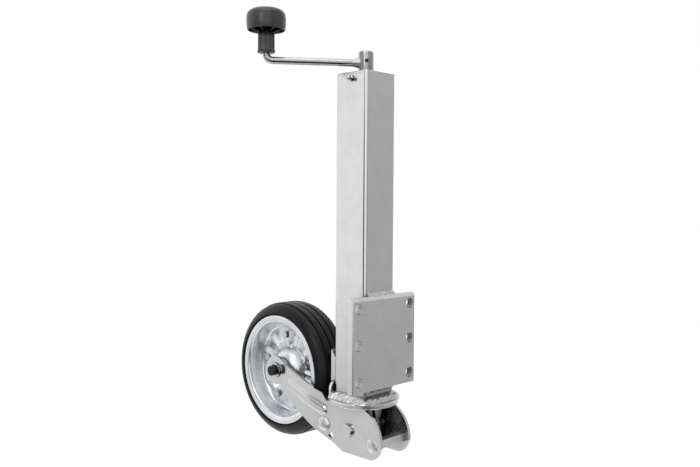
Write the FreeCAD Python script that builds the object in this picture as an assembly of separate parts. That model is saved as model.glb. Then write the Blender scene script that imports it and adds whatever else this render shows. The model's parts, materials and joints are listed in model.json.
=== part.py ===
import FreeCAD, Part
import math
import os

# Automatic folding jockey wheel with a bolt-on mounting plate, in millimetres.
# The shapes are built round the column's axis (X = Y = 0), with Z = 0 at the middle of the
# mounting plate. On export they move so that the origin is the middle of the plate's outer face.

# Outer column
tube_wall = 4.0
tube_corner = 6.0
tube_length = 527.5
tube_foot_below_plate = 97.5
cap_thickness = 4.0
cap_edge = 1.5

# Mounting plate and its bolts
plate_width = 148.0
plate_height = 150.0
plate_thickness = 12.0
plate_top_bevel = 5.5
plate_edge = 1.5
bolt_spacing_across = 121.0
bolt_spacing_up = 58.0
bolt_hole_radius = 8.5
plate_weld_leg = 7.0

# Collar ring, its weld and the rear guard
collar_radius = 58.0
collar_thickness = 8.0
collar_edge = 1.5
collar_weld_height = 10.0
collar_weld_spread = 11.0
guard_width = 83.0
guard_height = 26.5
guard_thickness = 5.0
guard_corner = 14.0

# Tyre stop, a pressed channel on the column's back
stop_width = 50.0
stop_depth = 17.0
stop_height = 53.0
stop_sheet = 3.0
stop_foot_above_collar = 22.0
stop_slope = 21.0

# Sliding leg
leg_radius = 30.0
leg_wall = 5.0
leg_to_tube_gap = 1.0
leg_length = 470.0
leg_guide_clearance = 0.4
leg_travel = 250.0
pivot_below_collar = 41.5
leg_below_pivot = 24.0
slot_width = 18.0
key_width = 16.4
key_drop = 20.0
key_foot_width = 10.0
slot_end_gap = 2.0

# Screw, nut and thrust bearing
spindle_radius = 11.0
spindle_foot_above_plate = 10.0
thread_clearance = 0.05
journal_radius = 8.0
shaft_clearance = 0.05
nut_flange_margin = 0.5
nut_flange_thickness = 6.0
nut_depth = 32.0
nut_screw_radius = 4.0
bush_wall = 3.0
bush_flange_radius = 14.0
bush_flange_thickness = 1.2
bearing_radius = 17.0
bearing_washer = 2.8
bearing_bore_radius = 8.6
ball_radius = 2.5
ball_pitch_radius = 12.5
ball_count = 10
cage_thickness = 1.6
shoulder_radius = 16.0
shoulder_thickness = 5.0
running_gap = 0.3

# Crank and knob
hub_radius = 12.5
hub_height = 35.0
hub_edge = 3.0
crank_reach = 162.0
crank_angle = 230.0
rod_radius = 6.0
rod_bend_radius = 11.0
roll_pin_above_cap = 20.0
rod_above_cap = 17.6
rod_rise = 1.3
rod_collar_radius = 9.0
rod_collar_length = 9.0
roll_pin_radius = 3.0
roll_pin_bore = 1.8
knob_radius = 32.0
knob_height = 34.5
knob_rim_height = 22.0
knob_wall = 3.5
knob_crown_radius = 13.0
knob_stem_radius = 14.3
knob_stem_length = 36.0
knob_stem_wall = 4.0
knob_flutes = 6
knob_flute_radius = 3.2
knob_ribs = 10
knob_rib_thickness = 2.2
knob_foot_above_rod = 11.6
knob_pin_radius = 6.0
knob_clip_radius = 10.0
knob_clip_thickness = 1.5

# Fork
fork_plate = 5.0
fork_gap_to_leg = 1.0
tyre_side_gap = 2.0
fork_hub_joggle = 3.5
splay_start = -28.0
splay_end = -84.0
joggle_from_axle = 29.0
joggle_run = 8.0
splay_bend_radius = 40.0
joggle_bend_radius = 7.0
fork_hub_radius = 25.5
fork_top_below_collar = 1.2
nose_radius = 22.0
nose_x = 49.5
nose_below_pivot = 14.5
bar_width = 14.0
bar_height = 13.0
bar_x = 57.0
bar_below_pivot = 11.5
bar_tenon_radius = 5.5
bar_head_radius = 12.0
bar_head_height = 3.5
bar_head_offset_x = -4.0
bar_head_offset_z = -3.0
rear_rivet_x = -54.0
rear_rivet_below_pivot = 0.0
rear_spacer_radius = 8.0
rear_rivet_head_radius = 12.5
rear_rivet_head_height = 4.5
drain_hole_radius = 4.8
drain_hole_x = -39.5
drain_hole_below_pivot = 16.0
pivot_pin_radius = 10.5
pivot_pin_stand_out = 8.0
pivot_boss_radius = 15.0
pivot_boss_length = 7.0
fold_angle = 90.0
bead_width = 19.0
bead_height = 3.0
bead_edge = 1.6
bead_from_axle = 43.0
bead_start_above_pivot = 53.0
bead_end_x = -56.0
bead_end_above_pivot = 24.5

# Wheel
tyre_gap_to_stop = 8.0
wheel_above_pivot = 71.5
tyre_radius = 119.0
tyre_width = 76.0
tyre_shoulder = 23.0
tyre_groove_width = 3.0
tyre_groove_depth = 3.0
rim_radius = 97.5
rim_half_width = 33.0
rim_flange_bulge = 3.0
rim_ring_width = 12.0
rim_sheet = 2.5
rim_barrel_radius = 81.0
rim_disc_radius = 76.0
rim_lobe_height = 6.5
rim_lobe_outer = 73.0
rim_lobe_inner = 40.0
rim_lobe_spread = 25.0
rim_lobe_count = 5
rim_lobe_phase = 112.0
rim_dome_foot = 38.0
hub_tube_radius = 20.0
hub_tube_wall = 4.0
axle_washer_thickness = 2.0
axle_washer_radius = 17.0
axle_radius = 10.0
axle_end_radius = 8.7
axle_stand_out = 10.5
roller_length = 20.0
rim_bolt_radius = 4.0
rim_bolt_circle = 60.0
rim_bolt_head = 13.0
rim_bolt_head_height = 5.0
rim_nut_height = 6.0
clip_thickness = 1.8
clip_radius = 13.5

# Sizes that follow from the ones above
tube_side = 2.0 * (leg_radius + leg_to_tube_gap + tube_wall)
tube_foot = -tube_foot_below_plate
tube_head = tube_foot + tube_length
cap_top = tube_head + cap_thickness
half_tube = tube_side / 2.0
plate_back = half_tube
plate_front = half_tube + plate_thickness
collar_foot = tube_foot - collar_thickness
pivot_z = collar_foot - pivot_below_collar
leg_foot = pivot_z - leg_below_pivot
leg_head = leg_foot + leg_length
fork_inner = leg_radius + fork_gap_to_leg
fork_outer = fork_inner + fork_plate
arm_inner = tyre_width / 2.0 + tyre_side_gap
fork_arm_spread = arm_inner - fork_inner
arm_outer = arm_inner + fork_plate
hub_inner = arm_inner - fork_hub_joggle
hub_outer = hub_inner + fork_plate
hub_tube_half = hub_inner - axle_washer_thickness - running_gap
wheel_x = -(half_tube + stop_depth + tyre_gap_to_stop + tyre_radius)
wheel_z = pivot_z + wheel_above_pivot
joggle_start = wheel_x + joggle_from_axle
joggle_end = joggle_start - joggle_run
nut_flange_radius = leg_radius - nut_flange_margin
bar_z = pivot_z - bar_below_pivot
nose_z = pivot_z - nose_below_pivot
rear_rivet_z = pivot_z - rear_rivet_below_pivot
fork_top = collar_foot - fork_top_below_collar
heel_back = -math.sqrt(collar_radius ** 2 - fork_inner ** 2) - 0.5
strip_half = wheel_above_pivot + 2.0 * fork_hub_radius
cutter_half = tyre_width


def vec(x, y, z):
    return FreeCAD.Vector(x, y, z)


AXIS_X = vec(1, 0, 0)
AXIS_Y = vec(0, 1, 0)
AXIS_Z = vec(0, 0, 1)
ORIGIN = vec(0, 0, 0)


def box(x_range, y_range, z_range):
    corner = vec(x_range[0], y_range[0], z_range[0])
    size = [pair[1] - pair[0] for pair in (x_range, y_range, z_range)]
    return Part.makeBox(size[0], size[1], size[2], corner)


def rod_between(radius, start, end):
    run = end - start
    return Part.makeCylinder(radius, run.Length, start, run)


def upright(radius, z_low, z_high, x=0.0, y=0.0):
    return rod_between(radius, vec(x, y, z_low), vec(x, y, z_high))


def cross_rod(radius, x, z, y_low, y_high):
    return rod_between(radius, vec(x, y_low, z), vec(x, y_high, z))


def ring(outer, inner, z_low, z_high):
    return upright(outer, z_low, z_high).cut(upright(inner, z_low - 1.0, z_high + 1.0))


def rounded_bar(side_x, side_y, corner, z_low, z_high):
    block = box((-side_x / 2.0, side_x / 2.0), (-side_y / 2.0, side_y / 2.0), (z_low, z_high))
    edges = [edge for edge in block.Edges if is_upright(edge)]
    return block.makeFillet(corner, edges)


def is_upright(edge):
    first = edge.Vertexes[0].Point
    last = edge.Vertexes[-1].Point
    return abs(first.x - last.x) < 1e-6 and abs(first.y - last.y) < 1e-6


def polygon_face(points):
    return Part.Face(Part.makePolygon(points + [points[0]]))


def mirrored(shape):
    return shape.mirror(ORIGIN, AXIS_Y)


def offset_path(path, thickness):
    """Offset an open path of (r, y) points by a thickness to its left."""
    normals = []
    for first, last in zip(path, path[1:]):
        run = math.hypot(last[0] - first[0], last[1] - first[1])
        normals.append(((first[1] - last[1]) / run, (last[0] - first[0]) / run))
    far_side = []
    for index, point in enumerate(path):
        before = normals[max(index - 1, 0)]
        after = normals[min(index, len(normals) - 1)]
        scale = thickness / (1.0 + before[0] * after[0] + before[1] * after[1])
        far_side.append((point[0] + scale * (before[0] + after[0]),
                         point[1] + scale * (before[1] + after[1])))
    return far_side


def sheet_outline(path, thickness):
    """The closed outline of a sheet that lies on the left of an open path."""
    return list(path) + offset_path(path, thickness)[::-1]


def turned_about_y(outline):
    """Revolve a closed (r, y) outline about the Y axis."""
    face = polygon_face([vec(radius, y, 0) for radius, y in outline])
    return face.revolve(ORIGIN, AXIS_Y, 360.0)


def at_wheel(shape):
    return shape.translated(vec(wheel_x, 0, wheel_z))


def export(node, shape):
    moved = shape.translated(vec(-plate_front, 0, 0))
    moved.exportStep("parts/" + node + ".step")


# Column
def outer_tube():
    outside = rounded_bar(tube_side, tube_side, tube_corner, tube_foot, tube_head)
    inner_side = tube_side - 2.0 * tube_wall
    inside = rounded_bar(inner_side, inner_side, tube_corner - tube_wall, tube_foot - 1, tube_head + 1)
    return outside.cut(inside).cut(nipple_hole())


nipple_z = tube_head - 7.0
nipple_x = 2.0
nipple_thread_radius = 3.0


def nipple_hole():
    return cross_rod(nipple_thread_radius, nipple_x, nipple_z, -half_tube - 1.0, -half_tube + tube_wall + 1.0)


def grease_nipple():
    stem_start = -half_tube + tube_wall
    stem = cross_rod(nipple_thread_radius, nipple_x, nipple_z, -half_tube, stem_start)
    hexagon = hex_prism(4.5, 4.0).translated(vec(nipple_x, -half_tube - 4.0, nipple_z))
    neck = cross_rod(2.0, nipple_x, nipple_z, -half_tube - 7.5, -half_tube - 4.0)
    head = Part.makeCone(3.1, 1.6, 4.0, vec(nipple_x, -half_tube - 7.5, nipple_z), vec(0, -1, 0))
    return stem.fuse([hexagon, neck, head]).removeSplitter()


def hex_prism(across_corners_half, length):
    """A hexagon along +Y, one face at Y = 0."""
    corners = []
    for step in range(6):
        angle = math.radians(60.0 * step)
        corners.append(vec(across_corners_half * math.cos(angle), 0, across_corners_half * math.sin(angle)))
    return polygon_face(corners).extrude(vec(0, length, 0))


bush_radius = journal_radius + bush_wall


def top_cap():
    cap = rounded_bar(tube_side, tube_side, tube_corner, tube_head, cap_top)
    cap = cap.makeFillet(cap_edge, [edge for edge in cap.Edges
                                    if all(abs(vertex.Z - cap_top) < 1e-6 for vertex in edge.Vertexes)])
    return cap.cut(upright(bush_radius, tube_head - 1, cap_top + 1))


def spindle_bush():
    bore = upright(journal_radius + shaft_clearance, tube_head - 1, cap_top + bush_flange_thickness + 1)
    sleeve = upright(bush_radius, tube_head, cap_top)
    flange = upright(bush_flange_radius, cap_top, cap_top + bush_flange_thickness)
    return sleeve.fuse(flange).cut(bore).removeSplitter()


washer_foot = tube_head - bearing_washer
ball_centre = washer_foot - ball_radius
lower_washer_top = ball_centre - ball_radius - running_gap
shoulder_top = lower_washer_top - bearing_washer
shoulder_foot = shoulder_top - shoulder_thickness


def bearing_upper_washer():
    return ring(bearing_radius, bearing_bore_radius, washer_foot, tube_head)


def bearing_ball_cage():
    cage = ring(bearing_radius - 1.0, bearing_bore_radius + 0.6,
                ball_centre - cage_thickness / 2.0, ball_centre + cage_thickness / 2.0)
    for step in range(ball_count):
        angle = 2.0 * math.pi * step / ball_count
        centre = vec(ball_pitch_radius * math.cos(angle), ball_pitch_radius * math.sin(angle), ball_centre)
        cage = cage.fuse(Part.makeSphere(ball_radius, centre))
    return cage


def edge_centre(edge):
    return (edge.Vertexes[0].Point + edge.Vertexes[-1].Point) * 0.5


def front_edges(shape):
    return [edge for edge in shape.Edges
            if all(abs(vertex.X - plate_front) < 1e-6 for vertex in edge.Vertexes)]


def mounting_plate():
    half_w = plate_width / 2.0
    half_h = plate_height / 2.0
    plate = box((plate_back, plate_front), (-half_w, half_w), (-half_h, half_h))
    plate = plate.makeChamfer(plate_top_bevel, [edge for edge in front_edges(plate) if edge_centre(edge).z > 1.0])
    sides = [edge for edge in front_edges(plate) if abs(edge_centre(edge).y) > 1.0]
    plate = plate.makeChamfer(plate_edge, sides)
    for side in (-1.0, 1.0):
        for row in (-1.0, 0.0, 1.0):
            place = vec(plate_back - 1.0, side * bolt_spacing_across / 2.0, row * bolt_spacing_up)
            plate = plate.cut(Part.makeCylinder(bolt_hole_radius, plate_thickness + 2.0, place, AXIS_X))
    return plate


def fillet_strip(corner, leg_a, leg_b, run):
    """A triangular weld run: its right angle lies at corner, its legs and length are vectors."""
    face = polygon_face([corner, corner + leg_a, corner + leg_b])
    return face.extrude(run)


def plate_welds():
    half_h = plate_height / 2.0
    flat = tube_side - 2.0 * tube_corner
    leg = plate_weld_leg
    start_y = -flat / 2.0
    top = fillet_strip(vec(plate_back, start_y, half_h), vec(leg, 0, 0), vec(0, 0, leg), vec(0, flat, 0))
    foot = fillet_strip(vec(plate_back, start_y, -half_h), vec(leg, 0, 0), vec(0, 0, -leg), vec(0, flat, 0))
    runs = [top, foot]
    tall = plate_height
    for side in (-1.0, 1.0):
        corner = vec(plate_back, side * half_tube, -half_h)
        run = fillet_strip(corner, vec(0, side * leg, 0), vec(-leg, 0, 0), vec(0, 0, tall))
        runs.append(run.cut(column_core(leg)))
    return Part.makeCompound(runs)


def column_core(margin):
    return rounded_bar(tube_side, tube_side, tube_corner, tube_foot - margin, tube_head + margin)


def collar_ring():
    disc = upright(collar_radius, collar_foot, tube_foot)
    rims = [edge for edge in disc.Edges if len(edge.Vertexes) == 1]
    disc = disc.makeChamfer(collar_edge, rims)
    bore = upright(leg_radius + leg_guide_clearance, collar_foot - 1, tube_foot + 1)
    return disc.cut(bore)


def collar_weld():
    low = rounded_bar(tube_side + 2 * collar_weld_spread, tube_side + 2 * collar_weld_spread,
                      tube_corner + collar_weld_spread, 0.0, 0.1)
    outer_foot = low.Faces
    foot_wire = lowest_face(outer_foot).OuterWire.translated(vec(0, 0, tube_foot))
    top_bar = rounded_bar(tube_side + 1.0, tube_side + 1.0, tube_corner + 0.5, 0.0, 0.1)
    top_wire = lowest_face(top_bar.Faces).OuterWire.translated(vec(0, 0, tube_foot + collar_weld_height))
    bead = Part.makeLoft([foot_wire, top_wire], True, True)
    bead = bead.common(upright(collar_radius - 1.0, tube_foot, tube_foot + collar_weld_height))
    bead = bead.cut(column_core(1.0))
    rear = box((-2 * collar_radius, -half_tube), (-collar_radius, collar_radius), (tube_foot - 1, tube_head))
    return bead.cut(rear)


def lowest_face(faces):
    return min(faces, key=lambda face: face.CenterOfMass.z)


def rear_guard():
    half_w = guard_width / 2.0
    top = tube_foot + guard_height
    plate = box((-half_tube - guard_thickness, -half_tube), (-half_w, half_w), (tube_foot, top))
    corners = [edge for edge in plate.Edges
               if all(abs(v.Z - top) < 1e-6 for v in edge.Vertexes)
               and abs(edge.Vertexes[0].Y - edge.Vertexes[1].Y) < 1e-6]
    return plate.makeFillet(guard_corner, corners)


def tyre_stop():
    foot = tube_foot + stop_foot_above_collar
    top = foot + stop_height
    half_w = stop_width / 2.0
    back = -half_tube - stop_depth
    side_view = polygon_face([
        vec(back, -half_w, foot),
        vec(-half_tube, -half_w, foot),
        vec(-half_tube, -half_w, top - stop_slope),
        vec(back, -half_w, top),
    ])
    block = side_view.extrude(vec(0, stop_width, 0))
    hollow = box((back + stop_sheet, 0.0), (-half_w + stop_sheet, half_w - stop_sheet), (foot - 1, top + 1))
    return block.cut(hollow).cut(rear_guard())


def guide_key():
    """The key under the collar that runs in the leg's slot and keeps the leg from turning."""
    top = collar_foot
    foot = top - key_drop
    half_top = key_width / 2.0
    half_foot = key_foot_width / 2.0
    face = polygon_face([
        vec(0, -half_top, top),
        vec(0, half_top, top),
        vec(0, half_top, top - key_drop * 0.45),
        vec(0, half_foot, foot),
        vec(0, -half_foot, foot),
        vec(0, -half_top, top - key_drop * 0.45),
    ])
    return face.extrude(vec(key_reach, 0, 0)).translated(vec(leg_radius - leg_wall + 0.5, 0, 0))


key_reach = leg_wall + 3.0
slot_foot = collar_foot - key_drop - slot_end_gap
slot_top = collar_foot + leg_travel + slot_end_gap


# Leg
def leg_tube():
    tube = ring(leg_radius, leg_radius - leg_wall, leg_foot, leg_head)
    tube = tube.cut(slot_cutter()).cut(stop_notch_cutter())
    boss = cross_rod(pivot_boss_radius, 0.0, pivot_z, -leg_radius, leg_radius)
    return tube.cut(boss).cut(nut_screw_cutter())


def slot_cutter():
    half = slot_width / 2.0
    return box((0.0, leg_radius + 5.0), (-half, half), (slot_foot, slot_top))


def stop_notch_cutter():
    """The front notch that the fork's heel bar swings into when the wheel is down."""
    reach = bar_x + bar_width / 2.0
    low = bar_below_pivot + bar_height / 2.0
    near = math.hypot(bar_x - bar_width / 2.0, bar_below_pivot - bar_height / 2.0)
    far = math.hypot(reach, low)
    swept = cross_rod(far + 1.5, 0.0, pivot_z, -leg_radius, leg_radius)
    swept = swept.cut(cross_rod(near - 0.8, 0.0, pivot_z, -cutter_half, cutter_half))
    stop_face = bar_below_pivot - bar_height / 2.0 - running_gap
    room = box((stop_face, leg_radius + 10.0), (-cutter_half, cutter_half),
               (pivot_z + bar_x * 0.35, pivot_z + bar_x * 1.6))
    return swept.common(room)


def pivot_bosses():
    bosses = []
    for side in (-1.0, 1.0):
        outer = side * leg_radius
        inner = side * (leg_radius - pivot_boss_length)
        boss = cross_rod(pivot_boss_radius, 0.0, pivot_z, min(outer, inner), max(outer, inner))
        bosses.append(boss.cut(cross_rod(pivot_pin_radius, 0.0, pivot_z, -cutter_half, cutter_half)))
    return Part.makeCompound(bosses)


def pivot_pin():
    end = fork_outer + pivot_pin_stand_out
    pin = cross_rod(pivot_pin_radius, 0.0, pivot_z, -end, end)
    rims = [edge for edge in pin.Edges if len(edge.Vertexes) == 1]
    return pin.makeChamfer(1.0, rims)


def leg_nut():
    plug_radius = leg_radius - leg_wall
    plug = upright(plug_radius, leg_head - nut_depth, leg_head)
    flange = upright(nut_flange_radius, leg_head, leg_head + nut_flange_thickness)
    bore = upright(spindle_radius + thread_clearance, leg_head - nut_depth - 1, leg_head + 20.0)
    return plug.fuse(flange).cut(bore).cut(nut_screw_cutter()).removeSplitter()


nut_screw_z = leg_head - nut_depth / 2.0


def nut_screw_cutter():
    start = spindle_radius + 3.0
    screws = [radial_rod(nut_screw_radius, angle, start, leg_radius + 1.0) for angle in (90.0, 210.0, 330.0)]
    return Part.makeCompound(screws)


def radial_rod(radius, angle, inner, outer):
    run = vec(math.cos(math.radians(angle)), math.sin(math.radians(angle)), 0)
    lift = vec(0, 0, nut_screw_z)
    return rod_between(radius, run * inner + lift, run * outer + lift)


def nut_screws():
    start = spindle_radius + 3.0
    end = leg_radius - 0.6
    return Part.makeCompound([radial_rod(nut_screw_radius, angle, start, end) for angle in (90.0, 210.0, 330.0)])


# Crank
hub_foot = cap_top + bush_flange_thickness + running_gap
hub_top = hub_foot + hub_height
journal_top = hub_top - 6.0
pin_z = cap_top + roll_pin_above_cap
rod_z = cap_top + rod_above_cap
crank_way = vec(math.cos(math.radians(crank_angle)), math.sin(math.radians(crank_angle)), 0)
pin_way = vec(-crank_way.y, crank_way.x, 0)


def bearing_lower_washer():
    return ring(bearing_radius, journal_radius, shoulder_top, lower_washer_top)


def spindle():
    screw = upright(spindle_radius, spindle_foot_above_plate, shoulder_foot)
    shoulder = upright(shoulder_radius, shoulder_foot, shoulder_top)
    journal = upright(journal_radius, shoulder_top, journal_top)
    return screw.fuse([shoulder, journal]).removeSplitter().cut(roll_pin_rod(roll_pin_radius))


def roll_pin_rod(radius):
    lift = vec(0, 0, pin_z)
    return rod_between(radius, lift - pin_way * hub_radius, lift + pin_way * hub_radius)


def roll_pin():
    return roll_pin_rod(roll_pin_radius).cut(roll_pin_rod(roll_pin_bore))


def crank_hub():
    hub = upright(hub_radius, hub_foot, hub_top)
    top_rim = [edge for edge in hub.Edges
               if len(edge.Vertexes) == 1 and abs(edge.Vertexes[0].Z - hub_top) < 1e-6]
    hub = hub.makeFillet(hub_edge, top_rim)
    hub = hub.cut(upright(journal_radius, hub_foot - 1, journal_top))
    return hub.cut(roll_pin_rod(roll_pin_radius))


knob_axis = crank_way * crank_reach
rod_start = crank_way * (hub_radius - 3.0) + vec(0, 0, rod_z)
rod_corner = knob_axis + vec(0, 0, rod_z + rod_rise)
knob_foot = rod_corner.z + knob_foot_above_rod
knob_rim_foot = knob_foot + knob_stem_length
knob_top = knob_rim_foot + knob_height
rod_top = knob_rim_foot + knob_height / 2.0


def crank_rod():
    """The bent rod: a near level run, an arc and an upright end that is the knob's journal."""
    level = (rod_start - rod_corner).normalize()
    half_angle = level.getAngle(AXIS_Z) / 2.0
    setback = rod_bend_radius / math.tan(half_angle)
    arc_start = rod_corner + level * setback
    arc_end = rod_corner + AXIS_Z * setback
    towards_centre = (level + AXIS_Z).normalize()
    centre = rod_corner + towards_centre * (rod_bend_radius / math.sin(half_angle))
    arc_middle = centre - towards_centre * rod_bend_radius
    path = Part.Wire([
        Part.LineSegment(rod_start, arc_start).toShape(),
        Part.Arc(arc_start, arc_middle, arc_end).toShape(),
        Part.LineSegment(arc_end, vec(rod_corner.x, rod_corner.y, rod_top)).toShape(),
    ])
    section = Part.Wire([Part.Circle(rod_start, rod_start - arc_start, rod_radius).toShape()])
    rod = path.makePipeShell([section], True, False)
    collar_end = rod_start - level * (rod_collar_length + 3.0)
    flare = Part.makeCone(rod_collar_radius, rod_radius, (collar_end - rod_start).Length,
                          rod_start, collar_end - rod_start)
    rod = rod.fuse(flare)
    return rod.cut(upright(hub_radius, hub_foot - 5.0, hub_top + 5.0))


def at_knob(shape):
    return shape.translated(vec(knob_axis.x, knob_axis.y, 0))


def knob_grip():
    stem = upright(knob_stem_radius, knob_foot, knob_rim_foot + knob_height - knob_crown_radius)
    crown_foot = knob_rim_foot + knob_rim_height
    shell = upright(knob_radius, knob_rim_foot, knob_top)
    top_rim = [edge for edge in shell.Edges
               if len(edge.Vertexes) == 1 and abs(edge.Vertexes[0].Z - knob_top) < 1e-6]
    foot_rim = [edge for edge in shell.Edges
                if len(edge.Vertexes) == 1 and abs(edge.Vertexes[0].Z - knob_rim_foot) < 1e-6]
    shell = shell.makeFillet(knob_crown_radius, top_rim).makeChamfer(2.5, foot_rim)
    hollow = upright(knob_radius - knob_wall, knob_rim_foot - 1, knob_top - knob_crown_radius)
    shell = shell.cut(hollow)
    rib_top = knob_top - knob_crown_radius
    ribs = []
    for step in range(knob_ribs):
        rib = box((knob_stem_radius - 1.0, knob_radius - 1.5),
                  (-knob_rib_thickness / 2.0, knob_rib_thickness / 2.0), (knob_rim_foot + 3.0, rib_top))
        ribs.append(rib.rotated(ORIGIN, AXIS_Z, 360.0 * step / knob_ribs))
    grip = shell.fuse([stem] + ribs)
    for step in range(knob_flutes):
        angle = math.radians(360.0 * step / knob_flutes + 15.0)
        reach = knob_stem_radius + knob_flute_radius * 0.45
        flute = upright(knob_flute_radius, knob_foot + 4.0, knob_rim_foot - 1.0,
                        reach * math.cos(angle), reach * math.sin(angle))
        grip = grip.cut(flute)
    bore = upright(knob_pin_radius + shaft_clearance, knob_foot - 1, knob_clip_foot)
    pocket = upright(knob_clip_radius + 1.0, knob_clip_foot, knob_clip_foot + 8.0)
    return at_knob(grip.cut(bore).cut(pocket).removeSplitter())


knob_clip_foot = rod_top - 4.0


def knob_clip():
    clip = ring(knob_clip_radius, knob_pin_radius, knob_clip_foot + running_gap,
                knob_clip_foot + running_gap + knob_clip_thickness)
    return at_knob(clip)


# Fork
def fork_outline():
    """The side view of a fork plate, as one closed face in the XZ plane."""
    top = fork_top
    line = Part.LineSegment

    def point(x, z):
        return vec(x, 0, z)

    hub = point(wheel_x, wheel_z)
    heel_front = point(nose_x - 15.5, top)
    heel_mid = point(nose_x + 10.0, top - 17.5)
    nose_top = point(nose_x + nose_radius, nose_z + 10.0)
    nose_mid = point(nose_x + nose_radius * 0.78, nose_z - nose_radius * 0.63)
    nose_foot = point(nose_x - 6.0, nose_z - nose_radius - 1.5)
    belly = [point(-14.0, nose_z - nose_radius - 1.5), point(-34.0, nose_z - nose_radius + 9.0)]
    under_mid = point(wheel_x * 0.57, pivot_z + 5.0)
    under_end = polar(hub, fork_hub_radius, -62.0)
    over_end = polar(hub, fork_hub_radius, 66.0)
    hub_far = polar(hub, fork_hub_radius, 180.0)
    over_mid = point(wheel_x * 0.603, pivot_z + 69.5)
    neck = point(-collar_radius, top + 12.0)
    guard_side = point(heel_back, top)
    edges = [
        line(guard_side, heel_front).toShape(),
        Part.Arc(heel_front, heel_mid, nose_top).toShape(),
        Part.Arc(nose_top, nose_mid, nose_foot).toShape(),
        line(nose_foot, belly[0]).toShape(),
        line(belly[0], belly[1]).toShape(),
        Part.Arc(belly[1], under_mid, under_end).toShape(),
        Part.Arc(under_end, hub_far, over_end).toShape(),
        Part.Arc(over_end, over_mid, neck).toShape(),
        line(neck, guard_side).toShape(),
    ]
    return Part.Face(Part.Wire(edges))


def polar(centre, radius, degrees):
    angle = math.radians(degrees)
    return centre + vec(radius * math.cos(angle), 0, radius * math.sin(angle))


def rounded_path(points, radii):
    """The edges of a path through the points, with an arc of the given radius at each inner one."""
    edges = []
    start = points[0]
    for before, corner, after, radius in zip(points, points[1:], points[2:], radii):
        back = (before - corner).normalize()
        ahead = (after - corner).normalize()
        half_angle = back.getAngle(ahead) / 2.0
        arc_start = corner + back * (radius / math.tan(half_angle))
        arc_end = corner + ahead * (radius / math.tan(half_angle))
        inward = (back + ahead).normalize()
        arc_middle = corner + inward * (radius / math.sin(half_angle) - radius)
        edges.append(Part.LineSegment(start, arc_start).toShape())
        edges.append(Part.Arc(arc_start, arc_middle, arc_end).toShape())
        start = arc_end
    edges.append(Part.LineSegment(start, points[-1]).toShape())
    return edges


def joggled_strip(lift=0.0):
    """The fork plate seen from above: flat heel, splayed arm and an inset flat at the axle."""
    front = nose_x + 2.0 * nose_radius
    back = wheel_x - 2.0 * fork_hub_radius
    bends = [(front, fork_inner), (splay_start, fork_inner), (splay_end, arm_inner),
             (joggle_start, arm_inner), (joggle_end, hub_inner), (back, hub_inner)]
    near = [vec(x, -(y + lift), pivot_z - strip_half) for x, y in bends]
    far = [vec(x, -(y + lift + fork_plate), pivot_z - strip_half) for x, y in bends]
    tight = [splay_bend_radius, splay_bend_radius, joggle_bend_radius, joggle_bend_radius]
    wide = [radius + fork_plate for radius in tight]
    near_edges = rounded_path(near, [wide[0], tight[1], tight[2], wide[3]])
    far_edges = rounded_path(far, [tight[0], wide[1], wide[2], tight[3]])
    ends = [Part.LineSegment(near[0], far[0]).toShape(), Part.LineSegment(near[-1], far[-1]).toShape()]
    wire = Part.Wire(Part.__sortEdges__(near_edges + far_edges + ends))
    return Part.Face(wire).extrude(vec(0, 0, 2.0 * strip_half))


def fork_plate_near():
    plate = fork_outline().extrude(vec(0, -cutter_half, 0)).common(joggled_strip())
    plate = plate.fuse(arm_bead(bead_width, 0.0)).cut(arm_bead(bead_width - 5.0, -bead_height))
    plate = plate.removeSplitter()
    plate = plate.makeFillet(bead_edge, bead_rim(plate))
    holes = [
        cross_rod(pivot_pin_radius + shaft_clearance, 0.0, pivot_z, -cutter_half, 0.0),
        cross_rod(axle_end_radius, wheel_x, wheel_z, -cutter_half, 0.0),
        cross_rod(bar_tenon_radius, bar_x, bar_z, -cutter_half, 0.0),
        cross_rod(rear_rivet_shank, rear_rivet_x, rear_rivet_z, -cutter_half, 0.0),
        cross_rod(drain_hole_radius, drain_hole_x, pivot_z - drain_hole_below_pivot, -cutter_half, 0.0),
    ]
    for hole in holes:
        plate = plate.cut(hole)
    return plate.removeSplitter()


rear_rivet_shank = 5.0


def bead_ends():
    start = vec(wheel_x + bead_from_axle, 0, pivot_z + bead_start_above_pivot)
    end = vec(bead_end_x, 0, pivot_z + bead_end_above_pivot)
    return start, end


def bead_rim(plate):
    """The edges round the raised outer face of the bead."""
    start, end = bead_ends()
    crown = [face for face in plate.Faces if is_bead_crown(face, start, end)]
    return [edge for face in crown for edge in face.OuterWire.Edges]


def is_bead_crown(face, start, end):
    centre = face.CenterOfMass
    outer = arm_face(centre.x) + bead_height - 1.0
    return -centre.y > outer and end.x + bead_width > centre.x > start.x - bead_width


def arm_bead(width, lift):
    """A pressed stiffening bead along the arm, round at both ends, standing out of its face."""
    start, end = bead_ends()
    run = end - start
    angle = math.degrees(math.atan2(run.z, run.x))
    half = width / 2.0
    slab = box((0.0, run.Length), (-cutter_half, 0.0), (-half, half))
    slab = slab.rotated(ORIGIN, AXIS_Y, -angle).translated(start)
    ends = [cross_rod(half, spot.x, spot.z, -cutter_half, 0.0) for spot in (start, end)]
    slot = slab.fuse(ends)
    return slot.common(joggled_strip(bead_height + lift))


def arm_face(x):
    """How far the fork plate's outer face stands from the middle plane at x."""
    if x > splay_start:
        return fork_outer
    share = (splay_start - x) / (splay_start - splay_end)
    return fork_outer + fork_arm_spread * min(share, 1.0)


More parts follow.
